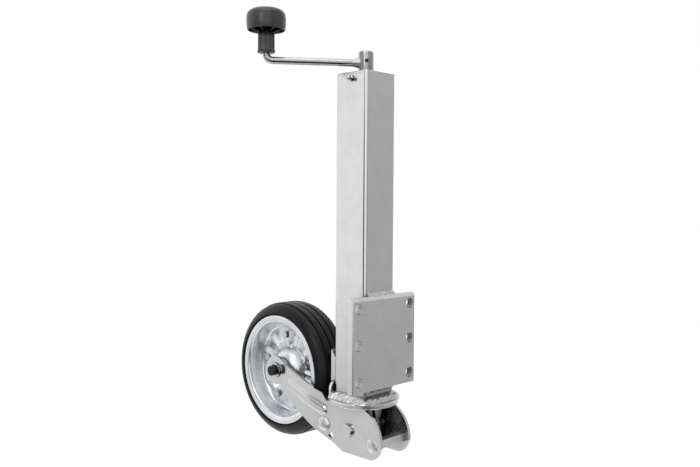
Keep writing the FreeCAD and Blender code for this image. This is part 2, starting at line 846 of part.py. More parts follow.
def dome_head(radius, height, x, z, face, side, tilt=0.0):
    """A low domed rivet head that sits on the plane Y = side * face, or on one tilted about Z."""
    sphere_radius = (radius * radius + height * height) / (2.0 * height)
    cap = Part.makeSphere(sphere_radius, vec(0, height - sphere_radius, 0))
    reach = radius + 1.0
    cap = cap.common(box((-reach, reach), (0.0, height + 1.0), (-reach, reach)))
    cap = cap.rotated(ORIGIN, AXIS_Z, tilt)
    if side < 0.0:
        cap = mirrored(cap)
    return cap.translated(vec(x, side * face, z))


def heel_bar():
    half_w = bar_width / 2.0
    half_h = bar_height / 2.0
    bar = box((bar_x - half_w, bar_x + half_w), (-fork_inner, fork_inner), (bar_z - half_h, bar_z + half_h))
    bar = bar.fuse(cross_rod(bar_tenon_radius, bar_x, bar_z, -fork_outer, fork_outer))
    head_x = bar_x + bar_head_offset_x
    head_z = bar_z + bar_head_offset_z
    heads = [dome_head(bar_head_radius, bar_head_height, head_x, head_z, fork_outer, side)
             for side in (-1.0, 1.0)]
    return bar.fuse(heads).removeSplitter()


def rear_spacer():
    half = arm_face(rear_rivet_x) - fork_plate - 1.3
    tube = cross_rod(rear_spacer_radius, rear_rivet_x, rear_rivet_z, -half, half)
    return tube.cut(cross_rod(rear_rivet_shank, rear_rivet_x, rear_rivet_z, -half - 1, half + 1))


def rear_rivet():
    face = arm_face(rear_rivet_x)
    tilt = -math.degrees(math.atan2(fork_arm_spread, splay_start - splay_end))
    rivet = cross_rod(rear_rivet_shank, rear_rivet_x, rear_rivet_z, -face, face)
    heads = [dome_head(rear_rivet_head_radius, rear_rivet_head_height, rear_rivet_x, rear_rivet_z, face, side, tilt)
             for side in (-1.0, 1.0)]
    return rivet.fuse(heads).removeSplitter()


def wheel_axle():
    end = hub_outer + axle_stand_out
    body = cross_rod(axle_radius, 0.0, 0.0, -hub_inner, hub_inner)
    ends = cross_rod(axle_end_radius, 0.0, 0.0, -end, end)
    groove_start = hub_outer + 0.5
    axle = body.fuse(ends).removeSplitter()
    for side in (-1.0, 1.0):
        low = min(side * groove_start, side * (groove_start + clip_thickness))
        high = max(side * groove_start, side * (groove_start + clip_thickness))
        groove = cross_rod(axle_end_radius + 1.0, 0, 0, low, high).cut(cross_rod(axle_end_radius - 1.5, 0, 0, low, high))
        axle = axle.cut(groove)
    return at_wheel(axle)


def axle_clips():
    clips = []
    for side in (-1.0, 1.0):
        start = hub_outer + 0.5
        low = min(side * start, side * (start + clip_thickness))
        high = max(side * start, side * (start + clip_thickness))
        clip = cross_rod(clip_radius, 0, 0, low, high).cut(cross_rod(axle_end_radius + 1.6, 0, 0, low, high))
        grip = cross_rod(axle_end_radius + 2.0, 0, 0, low, high).cut(cross_rod(axle_end_radius - 1.5, 0, 0, low, high))
        prongs = [box((-2.5, 2.5), (low, high), (0.0, clip_radius)).rotated(ORIGIN, AXIS_Y, turn)
                  for turn in (0.0, 110.0, -110.0)]
        clip = clip.fuse(grip.common(Part.makeCompound(prongs)))
        mouth = box((-axle_end_radius, axle_end_radius), (low, high), (-clip_radius - 1.0, -axle_end_radius * 0.7))
        clips.append(clip.cut(mouth).rotated(ORIGIN, AXIS_Y, 30.0))
    return at_wheel(Part.makeCompound(clips))


def axle_washers():
    washers = []
    for side in (-1.0, 1.0):
        inner = side * (hub_inner - axle_washer_thickness)
        outer = side * hub_inner
        low, high = min(inner, outer), max(inner, outer)
        washer = cross_rod(axle_washer_radius, 0, 0, low, high).cut(cross_rod(axle_radius, 0, 0, low, high))
        washers.append(washer)
    return at_wheel(Part.makeCompound(washers))


# Wheel
def rim_path():
    """The pressed sheet's outer face from the hub to the lip, as (radius, y) points."""
    ring_foot = rim_radius - rim_ring_width
    return [
        (hub_tube_radius, -27.5),
        (hub_tube_radius + 3.5, -26.5),
        (hub_tube_radius + 8.0, -22.0),
        (rim_dome_foot, -rim_sheet - 4.0),
        (rim_dome_foot + 4.0, -rim_sheet),
        (rim_disc_radius, -rim_sheet),
        (rim_barrel_radius, -10.0),
        (ring_foot - 1.5, -rim_half_width + 1.0),
        (ring_foot + 2.0, -rim_half_width - rim_flange_bulge + 1.0),
        (rim_radius - 3.0, -rim_half_width - rim_flange_bulge),
        (rim_radius, -rim_half_width),
    ]


def rim_half():
    """One pressed rim half: a turned sheet with raised fan-shaped lobes round the hub dome."""
    half = turned_about_y(sheet_outline(rim_path(), rim_sheet))
    for step in range(rim_lobe_count):
        angle = rim_lobe_phase + 360.0 * step / rim_lobe_count
        outer = lobe(rim_lobe_inner, rim_lobe_outer, rim_lobe_spread, rim_sheet, rim_sheet + rim_lobe_height)
        half = half.fuse(outer.rotated(ORIGIN, AXIS_Y, -angle))
    for step in range(rim_lobe_count):
        angle = rim_lobe_phase + 360.0 * step / rim_lobe_count
        inset = rim_sheet
        inner = lobe(rim_lobe_inner + 3.0, rim_lobe_outer - inset, rim_lobe_spread - 3.0,
                     -1.0, rim_lobe_height)
        half = half.cut(inner.rotated(ORIGIN, AXIS_Y, -angle))
    return half.cut(rim_bolt_cutter()).cut(cross_rod(hub_tube_radius, 0, 0, -cutter_half, cutter_half))


def lobe(inner, outer, spread, low, high):
    """A fan-shaped pad round the +X ray, from Y = -low down to Y = -high, tapering as it rises."""
    sections = []
    for y, shrink in ((low, 0.0), (high, 2.5)):
        sections.append(fan_wire(inner + shrink, outer - shrink, spread - shrink, -y))
    return Part.makeLoft(sections, True, True)


def fan_wire(inner, outer, spread, y):
    def ray(radius, degrees):
        angle = math.radians(degrees)
        return vec(radius * math.cos(angle), y, radius * math.sin(angle))

    narrow = spread * 0.55
    return Part.Wire([
        Part.LineSegment(ray(inner, -narrow), ray(outer, -spread)).toShape(),
        Part.Arc(ray(outer, -spread), ray(outer, 0.0), ray(outer, spread)).toShape(),
        Part.LineSegment(ray(outer, spread), ray(inner, narrow)).toShape(),
        Part.Arc(ray(inner, narrow), ray(inner, 0.0), ray(inner, -narrow)).toShape(),
    ])


def rim_bolt_spots():
    spots = []
    for step in range(rim_lobe_count):
        angle = rim_lobe_phase - 15.0 + 360.0 * step / rim_lobe_count
        spots.append(polar(ORIGIN, rim_bolt_circle, angle))
    return spots


def rim_bolt_cutter():
    return Part.makeCompound([cross_rod(rim_bolt_radius, spot.x, spot.z, -cutter_half, cutter_half)
                              for spot in rim_bolt_spots()])


def rim_bolts():
    face = rim_sheet + rim_lobe_height
    bolts = []
    for spot in rim_bolt_spots():
        shank = cross_rod(rim_bolt_radius, spot.x, spot.z, -face, face + rim_nut_height)
        head = hex_prism(rim_bolt_head / 2.0, rim_bolt_head_height)
        head = head.translated(vec(spot.x, -face - rim_bolt_head_height, spot.z))
        bolts.append(shank.fuse(head))
    return at_wheel(Part.makeCompound(bolts))


def rim_nuts():
    face = rim_sheet + rim_lobe_height
    nuts = []
    for spot in rim_bolt_spots():
        nut = hex_prism(rim_bolt_head / 2.0, rim_nut_height).translated(vec(spot.x, face, spot.z))
        nuts.append(nut.cut(cross_rod(rim_bolt_radius, spot.x, spot.z, 0.0, cutter_half)))
    return at_wheel(Part.makeCompound(nuts))


def tyre():
    half = tyre_width / 2.0
    crown_half = half - tyre_shoulder
    seat = [(radius, -y) for radius, y in offset_path(rim_path(), rim_sheet)[-5:]]
    beyond_lip = rim_radius + 1.5
    bulge = seat + [(beyond_lip, seat[-1][1]), (beyond_lip, half - 1.0)]
    arc_start = math.asin(5.0 / tyre_shoulder)
    shoulder = []
    for step in range(9):
        angle = arc_start + (math.pi / 2.0 - arc_start) * step / 8.0
        shoulder.append((tyre_radius - tyre_shoulder + tyre_shoulder * math.sin(angle),
                         crown_half + tyre_shoulder * math.cos(angle)))
    side = bulge + shoulder
    outline = [(radius, -y) for radius, y in side] + [(radius, y) for radius, y in side[::-1]]
    body = turned_about_y(outline)
    for y in (-22.0, -7.5, 7.5, 22.0):
        depth_radius = tread_radius(y) - tyre_groove_depth
        outer = cross_rod(tyre_radius + 5.0, 0, 0, y - tyre_groove_width / 2.0, y + tyre_groove_width / 2.0)
        groove = outer.cut(cross_rod(depth_radius, 0, 0, y - tyre_groove_width, y + tyre_groove_width))
        body = body.cut(groove)
    return at_wheel(body)


def tread_radius(y):
    beyond = max(abs(y) - (tyre_width / 2.0 - tyre_shoulder), 0.0)
    return tyre_radius - tyre_shoulder + math.sqrt(tyre_shoulder ** 2 - beyond ** 2)


def hub_tube():
    tube = cross_rod(hub_tube_radius, 0, 0, -hub_tube_half, hub_tube_half)
    return at_wheel(tube.cut(cross_rod(hub_tube_radius - hub_tube_wall, 0, 0, -cutter_half, cutter_half)))


def hub_bearings():
    bushes = []
    for side in (-1.0, 1.0):
        outer = side * hub_tube_half
        inner = side * (hub_tube_half - roller_length)
        low, high = min(inner, outer), max(inner, outer)
        bush = cross_rod(hub_tube_radius - hub_tube_wall, 0, 0, low, high)
        bushes.append(bush.cut(cross_rod(axle_radius + shaft_clearance, 0, 0, low - 1, high + 1)))
    return at_wheel(Part.makeCompound(bushes))


def build():
    os.makedirs("parts", exist_ok=True)
    near_rim = rim_half()
    near_fork = fork_plate_near()
    nodes = {
        "outer_tube": outer_tube(),
        "top_cap": top_cap(),
        "spindle_bush": spindle_bush(),
        "bearing_upper_washer": bearing_upper_washer(),
        "bearing_ball_cage": bearing_ball_cage(),
        "grease_nipple": grease_nipple(),
        "mounting_plate": mounting_plate(),
        "plate_welds": plate_welds(),
        "collar_ring": collar_ring(),
        "collar_weld": collar_weld(),
        "rear_guard": rear_guard(),
        "tyre_stop": tyre_stop(),
        "guide_key": guide_key(),
        "leg_tube": leg_tube(),
        "leg_nut": leg_nut(),
        "nut_screws": nut_screws(),
        "pivot_bosses": pivot_bosses(),
        "pivot_pin": pivot_pin(),
        "spindle": spindle(),
        "bearing_lower_washer": bearing_lower_washer(),
        "crank_hub": crank_hub(),
        "roll_pin": roll_pin(),
        "crank_rod": crank_rod(),
        "knob_clip": knob_clip(),
        "knob_grip": knob_grip(),
        "fork_plate_near": near_fork,
        "fork_plate_far": mirrored(near_fork),
        "heel_bar": heel_bar(),
        "rear_spacer": rear_spacer(),
        "rear_rivet": rear_rivet(),
        "wheel_axle": wheel_axle(),
        "axle_clips": axle_clips(),
        "axle_washers": axle_washers(),
        "rim_half_near": at_wheel(near_rim),
        "rim_half_far": at_wheel(mirrored(near_rim)),
        "rim_bolts": rim_bolts(),
        "rim_nuts": rim_nuts(),
        "tyre": tyre(),
        "hub_tube": hub_tube(),
        "hub_bearings": hub_bearings(),
    }
    for node, shape in nodes.items():
        export(node, shape)
        print(node, "valid" if shape.isValid() else "NOT VALID", len(shape.Solids), "solids",
              round(sum(solid.Volume for solid in shape.Solids)), "mm3")


build()
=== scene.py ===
"""Automatic folding jockey wheel on a bolt-on plate, dressed for rendering.

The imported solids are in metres, in the part's own frame: the origin is the middle of the mounting
plate's outer face, +X points out of the plate, +Y runs along the wheel axle and +Z is up. Each class
dresses one sub-assembly and replaces the plain solids whose real surface is softer.
"""

import json
import logging
import math
from dataclasses import dataclass, field
from enum import Enum
from typing import Any, Dict, List, Optional, Sequence, Tuple, Union

import bpy
import numpy as np
from mathutils import Matrix, Vector

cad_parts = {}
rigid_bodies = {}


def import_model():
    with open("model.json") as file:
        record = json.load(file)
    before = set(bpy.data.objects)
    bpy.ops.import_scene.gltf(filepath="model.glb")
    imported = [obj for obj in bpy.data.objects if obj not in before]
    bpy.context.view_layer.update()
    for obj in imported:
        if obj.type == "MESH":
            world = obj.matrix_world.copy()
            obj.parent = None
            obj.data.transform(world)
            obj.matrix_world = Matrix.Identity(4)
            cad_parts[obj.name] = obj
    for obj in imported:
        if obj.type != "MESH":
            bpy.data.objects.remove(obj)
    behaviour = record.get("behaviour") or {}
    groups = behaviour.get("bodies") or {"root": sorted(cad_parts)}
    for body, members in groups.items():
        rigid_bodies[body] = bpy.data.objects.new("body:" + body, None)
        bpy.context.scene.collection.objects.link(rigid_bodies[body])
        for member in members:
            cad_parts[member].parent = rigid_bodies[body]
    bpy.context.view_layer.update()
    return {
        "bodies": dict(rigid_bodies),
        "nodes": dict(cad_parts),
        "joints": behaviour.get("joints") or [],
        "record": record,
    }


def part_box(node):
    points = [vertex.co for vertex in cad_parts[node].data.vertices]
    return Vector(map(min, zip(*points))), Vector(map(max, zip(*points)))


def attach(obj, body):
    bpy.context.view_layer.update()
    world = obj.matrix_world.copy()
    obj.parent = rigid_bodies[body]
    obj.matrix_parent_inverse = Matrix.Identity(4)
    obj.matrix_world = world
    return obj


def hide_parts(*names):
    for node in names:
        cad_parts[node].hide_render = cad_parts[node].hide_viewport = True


LOG = logging.getLogger("jockey_wheel")
MM = 0.001
TURN = 2.0 * math.pi
BLACK = (0.0, 0.0, 0.0, 1.0)
WHITE = (1.0, 1.0, 1.0, 1.0)
POLE = 0.2 * MM  # radius at which a closed profile stops short of its axis
RAY_SAMPLES = 8  # rays of a rounded edge or a hollow

# The seeded noise: how many waves it sums, how far each may be stretched at random, how much shorter
# and lower each is than the one before, and the height that their sum is divided by.
NOISE_WAVES = 4
NOISE_STRETCH = 0.37
NOISE_SHORTER = 1.9
NOISE_LOWER = 1.6
NOISE_PEAK = 1.8

Span = Tuple[float, float]
Vector3 = Tuple[float, float, float]
Grid = np.ndarray


class Side(Enum):
    """Which side of the middle plane a piece lies on: the near side faces the camera."""

    NEAR = -1.0
    FAR = 1.0

    @property
    def word(self) -> str:
        """The side's name as the nodes have it."""
        return self.name.lower()


class RayKind(Enum):
    """Names of the Light Path outputs that see the plain background."""

    CAMERA = "Is Camera Ray"
    GLOSSY = "Is Glossy Ray"
    TRANSMISSION = "Is Transmission Ray"


class Cut(Enum):
    """What a cutter does to a piece."""

    KEEP_INSIDE = "INTERSECT"
    TAKE_AWAY = "DIFFERENCE"


# ---- meshes ----


def noise_along(values: np.ndarray, pitch: float, seed: int) -> np.ndarray:
    """Smooth seeded noise: a sum of sines, each shorter and lower than the one before.

    Args:
        values: Places to sample, in metres, any shape.
        pitch: Length of the slowest wave in metres.
        seed: Seed of the phases.

    Returns:
        Noise of about -1 to 1 in the shape of values.
    """
    generator = np.random.default_rng(seed)
    total = np.zeros_like(values, dtype=float)
    for wave in range(NOISE_WAVES):
        stretch = 1.0 + NOISE_STRETCH * generator.random()
        phase = TURN * generator.random()
        total += np.sin(TURN * values * stretch * NOISE_SHORTER**wave / pitch + phase) / NOISE_LOWER**wave
    return total / NOISE_PEAK


def smooth_step(low: float, high: float, values: np.ndarray) -> np.ndarray:
    """A cubic ramp from 0 at low to 1 at high, flat outside."""
    share = np.clip((values - low) / (high - low), 0.0, 1.0)
    return share * share * (3.0 - 2.0 * share)


def rounded_path(points: Sequence[Span], passes: int) -> np.ndarray:
    """Round an open path by cutting each corner at a quarter and three quarters of its sides.

    Args:
        points: Corner points.
        passes: How often the corners are cut.

    Returns:
        The finer path, with its two ends kept.
    """
    path = np.asarray(points, dtype=float)
    for _ in range(passes):
        start, end = path[:-1], path[1:]
        cut = np.stack([0.75 * start + 0.25 * end, 0.25 * start + 0.75 * end], axis=1)
        path = np.vstack([path[:1], cut.reshape(-1, path.shape[1])[1:], path[-1:]])
    return path


def joined(*coordinates: Any) -> np.ndarray:
    """Points whose coordinates are arrays or single numbers, stretched to one shape."""
    return np.stack(np.broadcast_arrays(*coordinates), axis=-1)


def grid_faces(rows: int, columns: int, wrap_rows: bool, wrap_columns: bool) -> np.ndarray:
    """Number the corners of the quads of a grid of points.

    Args:
        rows: Rows of the grid.
        columns: Columns of the grid.
        wrap_rows: Whether the last row joins the first.
        wrap_columns: Whether the last column joins the first.

    Returns:
        Point numbers of shape (faces, 4).
    """
    row, column = np.meshgrid(np.arange(rows if wrap_rows else rows - 1),
                              np.arange(columns if wrap_columns else columns - 1), indexing="ij")
    next_row, next_column = (row + 1) % rows, (column + 1) % columns
    corners = [row * columns + column, next_row * columns + column,
               next_row * columns + next_column, row * columns + next_column]
    return np.stack(corners, axis=-1).reshape(-1, 4)


def signed_volume(points: np.ndarray, faces: np.ndarray) -> float:
    """Six times the volume that quads enclose: the sum of the triple products of their triangles.

    Args:
        points: Points of shape (n, 3).
        faces: Quads as point numbers of shape (faces, 4).

    Returns:
        The sum, which is negative when the quads face inwards.
    """
    first, second, third, fourth = (points[faces[:, corner]] for corner in range(4))
    one = np.einsum("ij,ij->i", first, np.cross(second, third))
    two = np.einsum("ij,ij->i", first, np.cross(third, fourth))
    return float(np.sum(one + two))


@dataclass
class MeshParts:
    """Quads and end fans collected from several grids, which become one Blender object."""

    points: List[np.ndarray] = field(default_factory=list)
    quads: List[np.ndarray] = field(default_factory=list)
    fans: List[List[int]] = field(default_factory=list)
    count: int = 0

    def add_grid(self, grid: Grid, wrap_rows: bool = False, wrap_columns: bool = False,
                 cap_rows: bool = False) -> "MeshParts":
        """Add a surface given as a grid of points, turned so that its faces point outwards.

        Args:
            grid: Points of shape (rows, columns, 3).
            wrap_rows: Whether the last row joins the first.
            wrap_columns: Whether the last column joins the first.
            cap_rows: Whether the first and last rows are closed with one face each.

        Returns:
            This collection.
        """
        rows, columns = grid.shape[:2]
        flat = grid.reshape(-1, 3)
        quads = grid_faces(rows, columns, wrap_rows, wrap_columns)
        inside_out = signed_volume(flat - flat.mean(axis=0), quads) < 0.0
        if inside_out:
            quads = quads[:, ::-1]
        if cap_rows:
            first = list(range(columns))
            last = list(range((rows - 1) * columns, rows * columns))
            first, last = (first, last[::-1]) if not inside_out else (first[::-1], last)
            self.fans += [[index + self.count for index in first], [index + self.count for index in last]]
        self.points.append(flat)
        self.quads.append(quads + self.count)
        self.count += len(flat)
        return self

    def to_object(self, name: str, smooth_angle: float = 40.0) -> bpy.types.Object:
        """Make one object of everything added.

        Args:
            name: The object's name.
            smooth_angle: Edges that bend more than this, in degrees, stay sharp.

        Returns:
            The object, at the origin and in the scene.
        """
        mesh = bpy.data.meshes.new(name)
        faces = np.vstack(self.quads).tolist() + self.fans
        mesh.from_pydata(np.vstack(self.points).tolist(), [], faces)
        mesh.validate()
        return smooth_object(name, mesh, smooth_angle)


def smooth_object(name: str, mesh: bpy.types.Mesh, smooth_angle: float) -> bpy.types.Object:
    """Put a mesh into the scene with smooth faces.

    Args:
        name: The object's name.
        mesh: Its mesh.
        smooth_angle: Edges that bend more than this, in degrees, stay sharp.

    Returns:
        The object.
    """
    mesh.shade_smooth()
    mesh.set_sharp_from_angle(angle=math.radians(smooth_angle))
    piece = bpy.data.objects.new(name, mesh)
    bpy.context.scene.collection.objects.link(piece)
    return piece


def turned_grid(radius: np.ndarray, along: np.ndarray, centre: Vector3, steps: int, axis: int = 1) -> Grid:
    """Turn radii about an axis: the two other coordinates are the radius times cosine and sine.

    Args:
        radius: Radii of shape (rows, 1), or (rows, steps) where they change round the turn.
        along: Places along the axis, in either of these shapes.
        centre: A point on the axis.
        steps: Number of places round the turn.
        axis: Which coordinate runs along the axis: 1 for Y, 2 for Z.

    Returns:
        Points of shape (rows, steps, 3), whose columns wrap.
    """
    angle = np.linspace(0.0, TURN, steps, endpoint=False)
    coordinates = [radius * np.cos(angle), radius * np.sin(angle)]
    coordinates.insert(axis, along)
    return joined(*coordinates) + np.array(centre)


def cut_with(piece: bpy.types.Object, cutter: bpy.types.Object, cut: Cut) -> None:
    """Apply one boolean to a piece and remove its cutter.

    Args:
        piece: The object whose mesh changes.
        cutter: The other object.
        cut: What the cutter does.
    """
    modifier = piece.modifiers.new("cut", "BOOLEAN")
    modifier.operation = cut.value
    modifier.solver = "EXACT"
    modifier.object = cutter
    bpy.context.view_layer.update()
    depsgraph = bpy.context.evaluated_depsgraph_get()
    result = bpy.data.meshes.new_from_object(piece.evaluated_get(depsgraph))
    piece.modifiers.clear()
    piece.data = result
    bpy.data.objects.remove(cutter)


# ---- materials ----


def linear(hex_code: str) -> Tuple[float, float, float, float]:
    """Turn an sRGB hex colour such as "#C8C8C4" into linear RGBA.

    Args:
        hex_code: The colour, with or without its number sign.

    Returns:
        Red, green, blue and an alpha of one.
    """
    channels = [int(hex_code.lstrip("#")[start:start + 2], 16) / 255.0 for start in (0, 2, 4)]
    bent = [value / 12.92 if value <= 0.04045 else ((value + 0.055) / 1.055) ** 2.4 for value in channels]
    return bent[0], bent[1], bent[2], 1.0


def add_node(tree: bpy.types.NodeTree, kind: str, settings: Optional[Dict[str, Any]] = None,
             links: Optional[Dict[Any, Any]] = None) -> bpy.types.Node:
    """Add a node with its settings and its links.

    Args:
        tree: The node tree.
        kind: Blender's node type name.
        settings: Attribute names or input names and their values.
        links: Input name or number, and the output socket that feeds it.

    Returns:
        The new node.
    """
    node = tree.nodes.new(kind)
    for key, value in (settings or {}).items():
        if isinstance(key, str) and hasattr(node, key):
            setattr(node, key, value)
        else:
            node.inputs[key].default_value = value
    for key, socket in (links or {}).items():
        tree.links.new(socket, node.inputs[key])
    return node


def new_material(name: str) -> Tuple[bpy.types.Material, bpy.types.NodeTree]:
    """Make an empty node material.

    Args:
        name: The material's name.

    Returns:
        The material and its tree.
    """
    material = bpy.data.materials.new(name)
    material.use_nodes = True
    material.node_tree.nodes.clear()
    return material, material.node_tree


@dataclass(frozen=True)
class ZincPlatedSteel:
    """Zinc-plated steel: a pale metal whose passivation leaves soft, cloudy, duller patches.

    The patches are 20 to 40 mm across on tube, plate and rim, and smaller on bar and weld. The grain of the
    steel below is finer than a render shows, so it is drawn 1.6 mm wide. Dents are those of drawing and
    pressing. Hollows and contacts get painted shade: ambient occlusion darkens the base colour where little
    light reaches. Sharp edges carry a thin bright line.
    """

    name: str
    pale: str = "#DCDCDC"
    dull: str = "#D6D6D6"
    roughness: Span = (0.17, 0.21)
    cloud: float = 34.0 * MM
    cloud_range: Span = (0.36, 0.66)
    grain: float = 1.6 * MM
    grain_depth: float = 0.002 * MM
    dent: float = 22.0 * MM
    dent_depth: float = 0.006 * MM
    edge: float = 0.4 * MM
    # The next three set the painted shade in hollows: how far ambient occlusion looks, the range it is read
    # over, and the darkest share of colour it leaves.
    hollow: float = 70.0 * MM
    painted_shade_range: Span = (0.18, 0.90)
    painted_shade_level: float = 0.30

    def build(self) -> bpy.types.Material:
        """Make the material from cloudy colour and roughness, dents, grain, painted hollow shade and soft
        edges.

        Returns:
            The material.
        """
        material, tree = new_material(self.name)
        place = add_node(tree, "ShaderNodeTexCoord").outputs["Object"]
        clouds, dents, grain = (
            add_node(tree, "ShaderNodeTexNoise",
                     {"Scale": 1.0 / size, "Detail": detail, "Roughness": fineness},
                     {"Vector": place}).outputs["Fac"]
            for size, detail, fineness in (
                (self.cloud, 5.0, 0.62), (self.dent, 1.0, 0.5), (self.grain, 2.0, 0.5)))
        share, rough = (
            add_node(tree, "ShaderNodeMapRange",
                     {"From Min": self.cloud_range[0], "From Max": self.cloud_range[1],
                      "To Min": low, "To Max": high}, {"Value": clouds}).outputs[0]
            for low, high in ((0.0, 1.0), self.roughness))
        colour = add_node(tree, "ShaderNodeMix",
                          {"data_type": "RGBA", 6: linear(self.pale), 7: linear(self.dull)}, {0: share})
        # Painted shade: ambient occlusion darkens the base colour in hollows and at contacts.
        reach = add_node(tree, "ShaderNodeAmbientOcclusion",
                         {"samples": RAY_SAMPLES, "Distance": self.hollow})
        lit = add_node(tree, "ShaderNodeMapRange",
                       {"From Min": self.painted_shade_range[0], "From Max": self.painted_shade_range[1],
                        "To Min": self.painted_shade_level}, {"Value": reach.outputs["AO"]})
        shaded = add_node(tree, "ShaderNodeMix", {"data_type": "RGBA", 6: BLACK},
                          {0: lit.outputs[0], 7: colour.outputs[2]})
        normal = add_node(tree, "ShaderNodeBevel", {"Radius": self.edge, "samples": RAY_SAMPLES}).outputs[0]
        for height, depth in ((dents, self.dent_depth), (grain, self.grain_depth)):
            normal = add_node(tree, "ShaderNodeBump", {"Strength": 1.0, "Distance": depth},
                              {"Height": height, "Normal": normal}).outputs[0]
        shader = add_node(tree, "ShaderNodeBsdfPrincipled", {"Metallic": 1.0},
                          {"Base Color": shaded.outputs[2], "Roughness": rough, "Normal": normal})
        add_node(tree, "ShaderNodeOutputMaterial", links={"Surface": shader.outputs[0]})
        return material


@dataclass(frozen=True)
class SolidRubber:
    """Moulded solid rubber: near black, with the patchy dull bloom of a vulcanised surface.

    The mould's pebble is finer than a render shows, so it is drawn 1.1 mm wide.
    """

    name: str
    colour: str = "#060607"
    bloom: str = "#0C0C0D"
    roughness: Span = (0.32, 0.44)
    cloud: float = 22.0 * MM
    pebble: float = 1.1 * MM
    pebble_depth: float = 0.05 * MM
    gloss: float = 0.36

    def build(self) -> bpy.types.Material:
        """Make the material from a patchy bloom and a fine pebble bump.

        Returns:
            The material.
        """
        material, tree = new_material(self.name)
        place = add_node(tree, "ShaderNodeTexCoord").outputs["Object"]
        clouds, pebble = (
            add_node(tree, "ShaderNodeTexNoise", {"Scale": 1.0 / size, "Detail": detail},
                     {"Vector": place}).outputs["Fac"]
            for size, detail in ((self.cloud, 6.0), (self.pebble, 2.0)))
        share, rough = (
            add_node(tree, "ShaderNodeMapRange",
                     {"From Min": start, "From Max": 0.7, "To Min": low, "To Max": high},
                     {"Value": clouds}).outputs[0]
            for start, low, high in ((0.4, 0.0, 1.0), (0.35, *self.roughness)))
        colour = add_node(tree, "ShaderNodeMix",
                          {"data_type": "RGBA", 6: linear(self.colour), 7: linear(self.bloom)}, {0: share})
        bump = add_node(tree, "ShaderNodeBump", {"Strength": 0.5, "Distance": self.pebble_depth},
                        {"Height": pebble})
        shader = add_node(tree, "ShaderNodeBsdfPrincipled", {"IOR": 1.42, "Specular IOR Level": self.gloss},
                          {"Base Color": colour.outputs[2], "Roughness": rough, "Normal": bump.outputs[0]})
        add_node(tree, "ShaderNodeOutputMaterial", links={"Surface": shader.outputs[0]})
        return material


@dataclass(frozen=True)
class MouldedPlastic:
    """Moulded nylon: even colour, the spark texture of its mould and a soft highlight.

    The texture is finer than a render shows, so it is drawn 0.7 mm wide. Deep hollows get painted shade: their
    colour is mixed towards near black by the share of light that reaches them, read by ambient occlusion.
    """

    name: str
    colour: str = "#3D3E42"
    # The near-black colour of the painted shade in hollows.
    deep: Tuple[float, float, float, float] = (0.001, 0.001, 0.001, 1.0)
    hollow: float = 26.0 * MM
    roughness: Span = (0.24, 0.34)
    texture: float = 0.7 * MM
    texture_depth: float = 0.02 * MM

    def build(self) -> bpy.types.Material:
        """Make the material from one colour with painted shade in hollows, and a spark-eroded bump.

        Returns:
            The material.
        """
        material, tree = new_material(self.name)
        place = add_node(tree, "ShaderNodeTexCoord").outputs["Object"]
        spark = add_node(tree, "ShaderNodeTexNoise", {"Scale": 1.0 / self.texture, "Detail": 3.0},
                         {"Vector": place})
        rough = add_node(tree, "ShaderNodeMapRange",
                         {"From Min": 0.3, "From Max": 0.7, "To Min": self.roughness[0],
                          "To Max": self.roughness[1]}, {"Value": spark.outputs["Fac"]})
        bump = add_node(tree, "ShaderNodeBump", {"Strength": 0.5, "Distance": self.texture_depth},
                        {"Height": spark.outputs["Fac"]})
        # Painted shade: ambient occlusion mixes the colour towards near black in the knob's hollow and other
        # recesses.
        reach = add_node(tree, "ShaderNodeAmbientOcclusion",
                         {"samples": RAY_SAMPLES, "only_local": True, "Distance": self.hollow})
        lit = add_node(tree, "ShaderNodeMapRange", {"From Min": 0.25, "From Max": 0.80},
                       {"Value": reach.outputs["AO"]})
        colour = add_node(tree, "ShaderNodeMix", {"data_type": "RGBA", 6: self.deep, 7: linear(self.colour)},
                          {0: lit.outputs[0]})
        shader = add_node(tree, "ShaderNodeBsdfPrincipled", {"IOR": 1.49},
                          {"Base Color": colour.outputs[2], "Roughness": rough.outputs[0],
                           "Normal": bump.outputs[0]})
        add_node(tree, "ShaderNodeOutputMaterial", links={"Surface": shader.outputs[0]})
        return material


@dataclass(frozen=True)
class MachinedMetal:
    """Turned or ground metal: fine tool marks make a slightly uneven sheen, drawn 1.4 mm wide to show."""

    name: str
    colour: str = "#8C8C8E"
    shade: str = "#6E6E70"
    metallic: float = 1.0
    roughness: Span = (0.26, 0.42)
    mark: float = 1.4 * MM
    edge: float = 0.3 * MM

    def build(self) -> bpy.types.Material:
        """Make the material from a streaky colour and roughness.

        Returns:
            The material.
        """
        material, tree = new_material(self.name)
        place = add_node(tree, "ShaderNodeTexCoord").outputs["Object"]
        marks = add_node(tree, "ShaderNodeTexNoise", {"Scale": 1.0 / self.mark, "Detail": 4.0},
                         {"Vector": place})
        colour = add_node(tree, "ShaderNodeMix",
                          {"data_type": "RGBA", 6: linear(self.colour), 7: linear(self.shade)},
                          {0: marks.outputs["Fac"]})
        rough = add_node(tree, "ShaderNodeMapRange",
                         {"To Min": self.roughness[0], "To Max": self.roughness[1]},
                         {"Value": marks.outputs["Fac"]})
        edge = add_node(tree, "ShaderNodeBevel", {"Radius": self.edge, "samples": 4})
        shader = add_node(tree, "ShaderNodeBsdfPrincipled", {"Metallic": self.metallic},
                          {"Base Color": colour.outputs[2], "Roughness": rough.outputs[0],
                           "Normal": edge.outputs[0]})
        add_node(tree, "ShaderNodeOutputMaterial", links={"Surface": shader.outputs[0]})
        return material


Finish = Union[ZincPlatedSteel, SolidRubber, MouldedPlastic, MachinedMetal]


